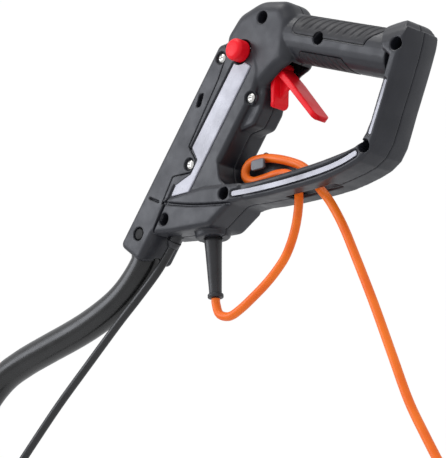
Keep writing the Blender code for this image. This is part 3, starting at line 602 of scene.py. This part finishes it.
def strap():
    """Lower bar and rear guard in one sweep; the guard's outer face is crowned across its width."""
    bm = bmesh.new()
    steps = 24
    rings = []
    middles = [Vector((row[0], 0, row[1])) for row in STRAP]
    for i, (x, _, inner, outer, crown) in enumerate(STRAP):
        ahead = (middles[min(i + 1, len(STRAP) - 1)] - middles[max(i - 1, 0)]).normalized()
        out = Vector((ahead.z, 0, -ahead.x))
        ring = []
        half = HALF_LOOP - 1.9 * min(1.0, max(0.0, (150 - x) / 52))
        for k in range(steps + 1):
            y = -half + 2 * half * k / steps
            rim = max(0.0, abs(y) - (half - 2.4)) / 2.4
            drop = 2.4 * (1 - math.sqrt(max(0.0, 1 - rim * rim)))
            lift = outer + crown * (1 - (y / half) ** 2) - drop
            ring.append(bm.verts.new(middles[i] + out * lift + Vector((0, y, 0))))
        for k in range(steps, -1, -1):
            y = -half + 2 * half * k / steps
            rim = max(0.0, abs(y) - (half - 1.6)) / 1.6
            drop = 1.6 * (1 - math.sqrt(max(0.0, 1 - rim * rim)))
            ring.append(bm.verts.new(middles[i] - out * (inner - drop) + Vector((0, y, 0))))
        rings.append(ring)
    stitch(bm, rings)
    return finish("strap", bm, "housing")


def strip(name, points, width, low, high, slot="housing"):
    """Flat strip of one width along a line of x, z points, with round ends."""
    line = smooth_route([(x, 0, z) for x, z in points], 3.0)
    left, right = [], []
    for i, here in enumerate(line):
        ahead = (line[min(i + 1, len(line) - 1)] - line[max(i - 1, 0)]).normalized()
        out = Vector((-ahead.z, 0, ahead.x)) * (width / 2)
        left.append(Vector(((here + out).x, (here + out).z)))
        right.append(Vector(((here - out).x, (here - out).z)))
    caps = []
    for end, rim in ((line[-1], left[-1]), (line[0], right[0])):
        centre = Vector((end.x, end.z))
        arm = rim - centre
        caps.append([centre + Matrix.Rotation(-math.pi * k / 8, 2) @ arm for k in range(1, 8)])
    return plate(name, left + caps[0] + right[::-1] + caps[1], low, high, slot)


BAR_LINE = ((93.5, 16.2), (115, 15.0), (150, 14.6), (185, 16.0), (206, 18.6), (220.5, 22.4))
GUARD_LINE = ((234.4, 36), (240.2, 49), (245.7, 61.5), (250.6, 73.2))
STRIP_LINE = tuple((x + 1.4, z - 0.5) for x, z in GUARD_LINE)
SKIRT_LINE = ((6.7, 26.7), (16, 23.2), (45, 15.9), (74, 11.1), (88, 9.4))


def outside():
    """Both shells' outer form as one solid."""
    body = plate("shell", column_shape(), -HALF_COLUMN, HALF_COLUMN, edge=COLUMN_EDGE, steps=5)
    boss_rows = ((0, 15), (6, 14.2), (7, 13))
    boss = lathe("boss", boss_rows, Vector((51.4, 0, -2.6)), Vector((51.8, 0, -9.6)), sides=48)
    crown = fillet(((248.6, 100, 0), (247.6, 118.6, 3), (257.5, 122.6, 6), (269.5, 119, 6), (271.4, 112, 5),
                    (266, 98, 0), (256, 92, 0)))
    loop = join(strap(), plate("head", crown, -HALF_LOOP, HALF_LOOP, edge=2.2, steps=4))
    for wedge in guard_top_cutters():
        cut(loop, wedge)
    half_root = HALF_COLUMN - 0.05
    return join(body, plate("bulge", bulge_shape(), -HALF_BULGE, HALF_BULGE, edge=3, steps=4),
                plate("neck", neck_shape(), -HALF_NECK, HALF_NECK, edge=NECK_EDGE, steps=7),
                plate("skirt", skirt_outline(), -HALF_LOOP, HALF_LOOP, edge=4, steps=4),
                plate("root", fillet_root(), -half_root, half_root), grip_rod("grip"), loop, boss)


def band_shape(grow):
    """Outline of the column's band, which ends at the skirt line and under the button; the band is drawn
    pale, as painted highlight.
    """
    corners = ((72, 29.6 - grow), (87 + grow, 39.6 - grow), (99.5 - grow, 39.2 - grow), (105.2, 27.2 - grow),
               (188, 27.2 - grow), (188, 45.4 + grow))
    upper = [(*column(a, d), 1.0) for a, d in corners]
    low = 27.5 - grow
    left = column(54, 30.4 - grow)
    right = column(54, 46.2 + grow)
    along = column(1, 0) - column(0, 0)
    feet = [(*(p + along * ((low - p.y) / along.y)), 1.0) for p in (right, left)]
    return fillet(upper + feet)


def make_trims():
    """Column band and the strips let into the lower bar and the guard: glossy flats of the shells, drawn in a
    pale colour that is painted highlight.
    """
    band = plate("column_band", band_shape(0), -HALF_COLUMN - 0.9, 1.6 - HALF_COLUMN, "painted_sheen",
                 edge=0.7, steps=4)
    cut(band, across_rod("button_well", BUTTON_CENTRE.x, BUTTON_CENTRE.z, -CLEAR, 0, BUTTON_RADIUS + 2.4))
    done(shade(band), "housing", "housing")
    for side, word in ((-1, "left"), (1, "right")):
        outer = side * HALF_LOOP
        for name, line, width in (("bar", BAR_LINE, 4.0), ("guard", STRIP_LINE, 2.4)):
            depths = sorted((outer - side * 0.5, outer - side * 1.7))
            made = strip(f"{name}_strip_{word}", line, width, *depths, "painted_sheen")
            done(shade(made), "housing", "housing")


def dress(shell, side):
    """Grooves, channels and strips of a shell's outer face."""
    face = side * HALF_COLUMN
    outer = side * HALF_LOOP
    if side < 0:
        cut(shell, plate("band_seat", band_shape(0.35), -HALF_COLUMN - 4, 1.9 - HALF_COLUMN))
        for ends in (((104, 25.7), (182, 25.7)), ((29, 30.4), (70, 27.4))):
            line = [tuple(column(a, d)) for a, d in ends]
            middle = tuple((Vector(line[0]) + Vector(line[1])) / 2)
            cut(shell, strip("groove", (line[0], middle, line[1]), 2.4, face - 3, face + 1.9))
    cut(shell, strip("skirt_line", SKIRT_LINE, 2.2, *sorted((outer + side * 3, face - side * 1.5))))
    for line, width in ((BAR_LINE, 6.8), (GUARD_LINE, 5.6)):
        cut(shell, strip("channel", line, width, *sorted((outer + side * 3, outer - side * 2.0))))


def room():
    """Hollow of the shells, with its side walls thick enough for the grooves cut into them."""
    side = WALL + 1.6
    half_column = HALF_COLUMN - side
    half_neck = HALF_NECK - side - 1
    half_loop = HALF_LOOP - side - 1
    space = plate("room", inset(column_shape(), WALL), -half_column, half_column)
    join(space, plate("bulge_room", inset(bulge_shape(), WALL), -11, 11),
         plate("neck_room", inset(neck_shape(), WALL + 1), -half_neck, half_neck, edge=5, steps=3),
         plate("skirt_room", inset(skirt_outline(), WALL), -half_column, half_column),
         plate("loop_room", inset(loop_outline(), WALL), -half_loop, half_loop),
         grip_rod("grip_room", grow=-4.2, start=-6, length=GRIP_LENGTH - 3))
    for name, low, high in (("bend_block", 0, 50), ("head_block", 84, 130)):
        cut(space, plate(name, ((222, low), (280, low), (280, high), (222, high)), -CLEAR, CLEAR))
    return space


def half_space(side):
    seam = side * GAP / 2
    far = side * 60
    return block("other_half", (-90, min(seam, -far), -60), (340, max(seam, -far), 200))


def make_shell(name, side):
    seam = side * GAP / 2
    shell = outside()
    shell.name = name
    cut(shell, half_space(side))
    cut(shell, room())
    dress(shell, side)
    if side > 0:
        join(shell, hook_rib())
    for x, z in HOUSING_SCREWS:
        join(shell, across_rod("post", x, z, *sorted((seam, side * POST_REACH)), POST_RADIUS))
    for x, z in HOUSING_SCREWS:
        if side < 0:
            cut(shell, across_rod("counterbore", x, z, -CLEAR, -7, COUNTERBORE))
        cut(shell, across_rod("pilot", x, z, *sorted((0, side * 13.0)), SHANK_RADIUS + GAP))
    if side < 0:
        a, d = COVER_SCREWS[2]
        point = column(a, d)
        join(shell, across_rod("post", point.x, point.y, 1.5 - HALF_COLUMN, -6, 5.8))
        for a, d in COVER_SCREWS:
            point = column(a, d)
            cut(shell, across_rod("recess", point.x, point.y, -CLEAR, 3 - HALF_COLUMN, RECESS))
        x, z = BUTTON_CENTRE.x, BUTTON_CENTRE.z
        join(shell, across_rod("cup", x, z, -17.4, -6.7, BUTTON_RADIUS + 2))
        cut(shell, across_rod("button_well", x, z, -CLEAR, -8.6, BUTTON_RADIUS + 0.9))
        cut(shell, across_rod("stem_hole", x, z, -10, -5, 4.0))
    for tool in shell_cutters():
        cut(shell, tool)
    for spec in PADS:
        cut(shell, pad("pocket", spec, side, GAP, False))
    cut(shell, plate("cover_room", cover_outline(-GAP / 2), -CLEAR, CLEAR))
    return done(moulded(shell), "housing", "housing", name)


def make_cover():
    cover = plate("front_cover_skin", column_outline(), -HALF_COLUMN, HALF_COLUMN, edge=COLUMN_EDGE, steps=5)
    combine(cover, plate("cover_zone", cover_outline(GAP / 2), -CLEAR, CLEAR), "INTERSECT")
    cut(cover, rod("bore", tube_line(-20), tube_line(TUBE_TOP + 1), TUBE_RADIUS + GAP, sides=64))
    low = column(-20, TUBE_DEPTH + 3)
    cut(cover, rod("mouth", Vector((low.x, 0, low.y)), tube_line(9), TUBE_RADIUS + 1.2, sides=64))
    foot = column(18.8, TUBE_DEPTH)
    cut(cover, across_rod("bolt_recess", foot.x, foot.y, -CLEAR, -14.6, 5.6))
    cut(cover, across_rod("nut_recess", foot.x, foot.y, 14.4, CLEAR, 5.6))
    for a, d in COVER_SCREWS[:2]:
        point = column(a, d)
        cut(cover, across_rod("recess", point.x, point.y, -CLEAR, 3 - HALF_COLUMN, RECESS))
    latch = column(140.6, 9.7)
    corners = ((-4.4, -5), (0.6, -5), (4.6, 5), (-0.4, 5))
    cut(cover, plate("latch_slot", [latch + Vector(p) for p in corners], -30, -13))
    cut(cover, strip("skirt_line", ((-3, 31.5), (2, 29.0), (8, 26.2)), 1.7, -30, 2.4 - HALF_COLUMN))
    return done(moulded(cover, rounds=4), "housing", "housing", "front_cover")


def top_ends(t):
    """Where a top pad starts and ends along the grip, at t from its lower edge."""
    corner = 5.0 * (1 - math.sqrt(max(0.0, 1 - (1 - min(1.0, t / 0.22)) ** 2)))
    slant = 13.0 * (0.5 + 0.5 * math.cos(math.pi * min(1.0, t / 0.75)))
    return 4.0 + corner, 97.0 - slant


def bottom_ends(t):
    corner = 4.0 * (1 - math.sqrt(max(0.0, 1 - (1 - min(1.0, (1 - t) / 0.25)) ** 2)))
    return 14.0 + corner, 72.0 - 11.0 * t


PADS = (
    # place, lower and upper angle round the grip, ends, slant of the ribs, rib spacing
    ("top", 4, 88, top_ends, 11.0, 7.7), ("bottom", -88, -38, bottom_ends, -7.0, 7.2),
)


def pad(name, spec, side, grow, ribbed):
    """Soft inset of the grip, as a slab bent round it."""
    _, low, high, ends, slant, spacing = spec
    rows, columns = (40, 170) if ribbed else (14, 24)
    spread = grow * 3
    bm = bmesh.new()
    layers = []
    for outer in (False, True):
        grid = []
        for i in range(rows + 1):
            t = i / rows
            start, end = ends(t)
            angle = math.radians(low - spread + (high - low + 2 * spread) * t)
            row = []
            for j in range(columns + 1):
                s = start - grow + (end - start + 2 * grow) * j / columns
                lift = -PAD_THICK - grow
                if outer:
                    lift = 0.1 if ribbed else 2.0
                if outer and ribbed:
                    border = min(s - start, end - s, 22 * t, 22 * (1 - t) + 3)
                    lift -= 0.45 * (1 - min(1.0, border / 1.3)) ** 2
                    phase = ((s - slant * t) / spacing) % 1.0 - 0.5
                    window = min(1.0, max(0.0, (border - 3.0) / 2.5))
                    lift -= 0.75 * window * math.exp(-(phase * spacing / 1.15) ** 2)
                point = grip_point(s, angle, GRIP_TALL + lift, GRIP_WIDE + lift)
                if side > 0:
                    point.y = -point.y
                row.append(bm.verts.new(point))
            grid.append(row)
        layers.append(grid)
    for grid in layers:
        for i in range(rows):
            for j in range(columns):
                bm.faces.new((grid[i][j], grid[i][j + 1], grid[i + 1][j + 1], grid[i + 1][j]))
    inner, outer = layers
    rim = [(0, j) for j in range(columns)] + [(i, columns) for i in range(rows)]
    rim += [(rows, j) for j in range(columns, 0, -1)] + [(i, 0) for i in range(rows, 0, -1)]
    for (i, j), (m, n) in zip(rim, rim[1:] + rim[:1]):
        bm.faces.new((inner[i][j], inner[m][n], outer[m][n], outer[i][j]))
    return finish(name, bm, "pad")


def make_pads():
    for spec in PADS:
        for side, word in ((-1, "left"), (1, "right")):
            name = f"grip_pad_{spec[0]}_{word}"
            skin = pad(name + "_ribbed", spec, side, 0.0, True)
            hole = HOUSING_SCREWS[1]
            if spec[0] == "top" and side < 0:
                cut(skin, across_rod("screw_notch", *hole, -30, 0, 5.4))
            done(shade(skin, 50), "housing", "pad", name)


def round_corners(body, start, along, across, reach, radius):
    """Rounds both corners of a blade's far end, reach away from start, seen along across."""
    for side in (-1, 1):
        length = reach - radius
        offset = side * (TRIGGER_HALF - radius)
        turns = [math.radians(90) * k / 10 for k in range(11)]
        ring = [(length + radius * math.sin(q), offset + side * radius * math.cos(q)) for q in turns]
        ring += [(reach + 9, offset), (reach + 9, side * 20), (length, side * 20)]
        low = [start + along * s + Vector((0, y, 0)) - across * 9 for s, y in ring]
        cut(body, finish("round_corner", prism(low, across * 18), "red"))


def make_trigger():
    along = (TRIGGER_TIP - TRIGGER_PIVOT).normalized()
    across = Vector((-along.z, 0, along.x))
    reach = (TRIGGER_TIP - TRIGGER_PIVOT).length

    def lever(s, t):
        point = TRIGGER_PIVOT + along * s + across * t
        return point.x, point.z

    finger = fillet([(*lever(-2, 3), 0), (*lever(24, 3.4), 20), (*lever(reach, 2.2), 2),
                     (*lever(reach, -2.4), 2), (*lever(24, -2.2), 20), (*lever(-2, -3), 0)])
    body = plate("trigger", finger, -TRIGGER_HALF, TRIGGER_HALF, "red", edge=1.2, steps=4)
    round_corners(body, TRIGGER_PIVOT, along, across, reach, TIP_RADIUS)
    side_view = fillet(((123.8, 116, 0), (123.8, 88, 2), (122.4, 84.6, 1), (125.6, 83.4, 1), (127.4, 88, 2),
                        (128.4, 116, 0)))
    tail = plate("tail", side_view, -TRIGGER_HALF, TRIGGER_HALF, "red", edge=0.8, steps=3)
    round_corners(tail, Vector((126, 0, 100)), Vector((0, 0, -1)), Vector((1, 0, 0)), 16.6, TAIL_RADIUS)
    web = plate("web", ((126, 113), (139.5, 101), (126.5, 91)), -1.6, 1.6, "red")
    hub = across_rod("hub", TRIGGER_PIVOT.x, TRIGGER_PIVOT.z, -TRIGGER_HALF, TRIGGER_HALF, 5.4, "red")
    cam = plate("cam", ((121.0, 117), (121.0, 128), (126, 128), (130, 119)), 3.5, 8.5, "red")
    join(body, tail, web, hub, cam)
    cut(body, across_rod("bore", TRIGGER_PIVOT.x, TRIGGER_PIVOT.z, -20, 20, PIN_RADIUS + GAP))
    body.name = "trigger_skin"
    done(moulded(body, 0.35, 4, 0.5), "trigger", "red", "trigger_lever")


def make_button():
    x, z = BUTTON_CENTRE.x, BUTTON_CENTRE.z
    outside_face = -HALF_COLUMN - BUTTON_OUT
    r = BUTTON_RADIUS
    rows = ((0.0, 1.0), (0.05, r - 3.6), (0.35, r - 2.3), (1.1, r - 1.1), (2.1, r - 0.3), (3.2, r), (11.3, r),
            (11.6, r - 0.4), (11.6, 3.4), (22.3, 3.4), (22.6, 3.0))
    button = lathe("button_skin", rows, Vector((x, outside_face, z)), Vector((x, 0, z)), "red", 72)
    done(shade(button, 40), "lock", "red", "lock_button")


def make_screw(node, x, z, head, end, slot):
    """Pan-head screw with a crossed recess."""
    length = end - head
    rows = ((0, 0.6), (0.05, 1.9), (0.5, 3.2), (1.2, HEAD_RADIUS), (2.2, HEAD_RADIUS), (2.2, SHANK_RADIUS),
            (length - 2, SHANK_RADIUS), (length, 0.5))
    made = lathe(node + "_skin", rows, Vector((x, head, z)), Vector((x, end, z)), slot, 36)
    cut(made, block("slot", (x - 2.1, head - 1, z - 0.45), (x + 2.1, head + 1.2, z + 0.45)))
    cut(made, block("slot", (x - 0.45, head - 1, z - 2.1), (x + 0.45, head + 1.2, z + 2.1)))
    done(shade(made), "housing", "steel", node)


def make_screws():
    for k, (x, z) in enumerate(HOUSING_SCREWS, 1):
        make_screw(f"housing_screw_{k}", x, z, -9.4, 12.0, "black_steel")
    for k, (a, d) in enumerate(COVER_SCREWS, 1):
        point = column(a, d)
        make_screw(f"cover_screw_{k}", point.x, point.y, 0.6 - HALF_COLUMN, -9.8, "steel")
    for k, (x, z) in enumerate(HOOK_SCREWS, 1):
        make_screw(f"hook_screw_{k}", x, z, HOOK_FACE + 0.2, HOOK_BACK + 4.6, "steel")


# Flattened end: distance along it, half thickness, half width, and how square its section is.
FLAT_END = (
    (0, 12.7, 12.7, 1.0), (4, 12.0, 12.9, 0.95), (8, 9.6, 13.6, 0.8), (12, 6.6, 14.6, 0.65),
    (16, 4.4, 15.4, 0.55), (20, 4.0, 15.8, 0.5), (46, 4.0, 16, 0.5), (51, 4.0, 13.6, 0.5), (55, 4.0, 10, 0.5),
    (57.4, 4.0, 5.4, 0.5), (58, 3.4, 2.0, 0.6),
)


def make_tube():
    """Painted tube, pressed flat at its drilled lower end."""
    route = [tuple(tube_line(a)) for a in (TUBE_TOP, 70, 30, 6)] + list(TUBE_ROUTE)
    points = smooth_route(route, 3.0)
    last = (points[-1] - points[-2]).normalized()
    rows = [(p, TUBE_RADIUS, TUBE_RADIUS, 1.0) for p in points[:-1]]
    for s, thick, wide, power in FLAT_END:
        rows.append((points[-1] + last * s, thick, wide, power))
    bm = bmesh.new()
    rings = []
    sides = 64
    for i, (here, thick, wide, power) in enumerate(rows):
        ahead = (rows[min(i + 1, len(rows) - 1)][0] - rows[max(i - 1, 0)][0]).normalized()
        third = ahead.cross(Vector((0, 1, 0)))
        ring = []
        for k in range(sides):
            q = 2 * math.pi * (k + 0.5) / sides
            flat = math.copysign(abs(math.cos(q)) ** power, math.cos(q))
            broad = math.copysign(abs(math.sin(q)) ** power, math.sin(q))
            ring.append(bm.verts.new(here + Vector((0, thick * flat, 0)) + third * (wide * broad)))
        rings.append(ring)
    stitch(bm, rings)
    tube = finish("tube_skin", bm, "tube_paint")
    hole = points[-1] + last * 36
    cut(tube, across_rod("hole", hole.x, hole.z, -30, 30, FOOT_HOLE))
    bolt = column(18.8, TUBE_DEPTH)
    cut(tube, across_rod("bolt_hole", bolt.x, bolt.y, -30, 30, BOLT_RADIUS + GAP))
    done(shade(tube, 40), "housing", "tube_paint", "handle_tube")


def make_relief():
    """Cord sleeve in the skirt and the grommet of the motor lead."""
    rows = ((0, 6.6), (1.6, 7.2), (3, 7.2), (10, 6.7), (43, 5.2), (45.6, 5.2), (46.2, 6.2), (46.8, 6.45),
            (48.6, 6.45), (49.2, 6.1))
    relief = lathe("relief_skin", rows, RELIEF_TOP, RELIEF_END, "rubber", 64)
    top, under = Vector((51.2, 0, 2.6)), Vector((51.38, 0, -0.4))
    head = lathe("relief_head", ((0, 9.4), (3, 9.4)), top, under, "rubber", 48)
    neck = rod("relief_neck", Vector((51.3, 0, 1)), Vector((51.62, 0, -11)), 6.4, "rubber", 48)
    done(shade(join(relief, head, neck)), "housing", "rubber", "strain_relief")
    rows = ((0, 5.0), (6.8, 5.0), (6.8, 5.9), (7.1, 6.2), (9, 5.8), (12.0, 4.6), (12.3, 4.2))
    grommet = lathe("grommet_skin", rows, Vector((11.2, 0, 1.9)), Vector((4.18, 0, -8.35)), "rubber", 48)
    done(shade(grommet), "housing", "rubber", "lead_grommet")


def make_hook():
    outline = fillet(((80, 28.8, 2), (79.5, 44, 9), (90, 54, 14), (113, 54, 11), (141, 31, 3),
                      (141, 28.8, 1)))
    hook = plate("hook_skin", outline, HOOK_FACE, HOOK_BACK, "hook_grey", edge=1.2, steps=4)
    post_shape = fillet(((97, 34.2, 2), (97, 41.6, 2), (116, 41.6, 2), (116, 34.2, 2)))
    post = plate("post", post_shape, -7, HOOK_FACE + 1, "hook_grey", edge=0.6)
    lip_shape = fillet(((100, 36, 2), (100, 44.6, 2), (114, 44.6, 2), (114, 36, 2)))
    lip = plate("lip", lip_shape, -7, -4.3, "hook_grey", edge=0.6)
    join(hook, post, lip)
    for x, z in HOOK_SCREWS:
        cut(hook, across_rod("recess", x, z, 0, HOOK_FACE + 2.4, HEAD_RADIUS + GAP))
        cut(hook, across_rod("hole", x, z, 0, 20, SHANK_RADIUS + GAP))
    done(moulded(hook, 0.4, 4, 0.4), "housing", "hook_grey", "cord_hook")


def cord_line(name, route, radius, slot):
    curve = bpy.data.curves.new(name, "CURVE")
    curve.dimensions = "3D"
    curve.bevel_depth = radius * MM
    curve.bevel_resolution = 8
    curve.use_fill_caps = True
    points = smooth_route(route, 2.5)
    spline = curve.splines.new("POLY")
    spline.points.add(len(points) - 1)
    for knot, where in zip(spline.points, points):
        knot.co = (*place(where), 1.0)
    made = bpy.data.objects.new(name, curve)
    bpy.context.collection.objects.link(made)
    curve.materials.append(FINISHES[slot])
    length = sum((b - a).length for a, b in zip(points, points[1:])) * MM
    return made, length


def ribbed_rows(start, end, radius, count, depth):
    """Profile rows of a grip: rings of one depth between start and end."""
    rows = []
    for k in range(count):
        at = start + (end - start) * k / count
        step = (end - start) / count
        rows += [(at, radius), (at + step * 0.45, radius), (at + step * 0.6, radius - depth),
                 (at + step * 0.9, radius - depth)]
    return rows + [(end, radius)]


def make_cords():
    mains, mains_length = cord_line("mains_cord_skin", CORD_ROUTE, CORD_RADIUS, "orange")
    done(mains, "housing", "orange", "mains_cord")
    lead, lead_length = cord_line("motor_lead_skin", LEAD_ROUTE, LEAD_RADIUS, "lead_jacket")
    done(lead, "housing", "lead_jacket", "motor_lead")
    end = Vector(CORD_ROUTE[-1])
    away = (end - Vector(CORD_ROUTE[-2])).normalized()
    start = end + away * GAP
    rows = ([(0, 5.0), (0.5, 5.4)] + ribbed_rows(2.0, 17.0, 6.2, 5, 0.8)
            + [(18, 7.4), (21, 9.6), (24, 12), (27, 14.2), (30, 15.5), (34, 16.2), (44, 16.5), (47, 16.5),
               (47.7, 16.1), (48, 15.3)])
    plug = lathe("plug_skin", rows, start, start + away * 48, "rubber", 64)
    done(shade(plug, 28), "housing", "rubber", "mains_plug")
    for side, word in ((-1, "left"), (1, "right")):
        root = start + away * (48 + GAP) + Vector((0, side * 9.5, 0))
        pin = lathe(f"plug_pin_{word}_skin", ((0, 2.4), (17, 2.4), (18.0, 2.0), (18.6, 1.2)), root,
                    root + away * 18.6, "brass", 32)
        done(shade(pin), "housing", "brass", f"plug_pin_{word}")
    lead_end = Vector(LEAD_ROUTE[-1])
    lead_away = (lead_end - Vector(LEAD_ROUTE[-2])).normalized()
    root = lead_end + lead_away * GAP
    rows = ([(0, 4.8), (0.4, 5.2)] + ribbed_rows(1.5, 10.0, 6.0, 3, 0.7)
            + [(12, 8.6), (13, 9.0), (29.5, 9.2), (30.2, 10.0), (31, 10.4), (36, 10.4), (36.6, 9.8),
               (37, 8.4), (44, 8.4), (44.7, 8.0), (45, 7.4)])
    connector = lathe("connector_skin", rows, root, root + lead_away * 45, "rubber", 64)
    done(shade(connector, 28), "housing", "rubber", "lead_connector")


INSIDE = {
    "trigger_pin": "steel", "trigger_spring": "steel", "lock_spring": "steel", "switch_body": "rubber",
    "switch_plunger": "white_plastic", "cross_bolt": "black_steel", "cross_nut": "steel",
    "capacitor": "white_plastic", "terminal_block": "white_plastic", "cord_clamp": "rubber",
    "inner_wire_1": "wire_blue", "inner_wire_2": "wire_blue", "inner_wire_3": "wire_blue",
}


def dress_inside():
    """The frame's own inner pieces keep their shape and get detailed finishes."""
    for node, slot in INSIDE.items():
        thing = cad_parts[node]
        thing.data.materials.clear()
        thing.data.materials.append(FINISHES[slot])
        shade(thing)


make_camera()
make_stage()
make_cords()
make_relief()
make_tube()
make_button()
make_screws()
make_hook()
make_trigger()
make_pads()
make_cover()
make_trims()
make_shell("left_shell", -1)
make_shell("right_shell", 1)
dress_inside()
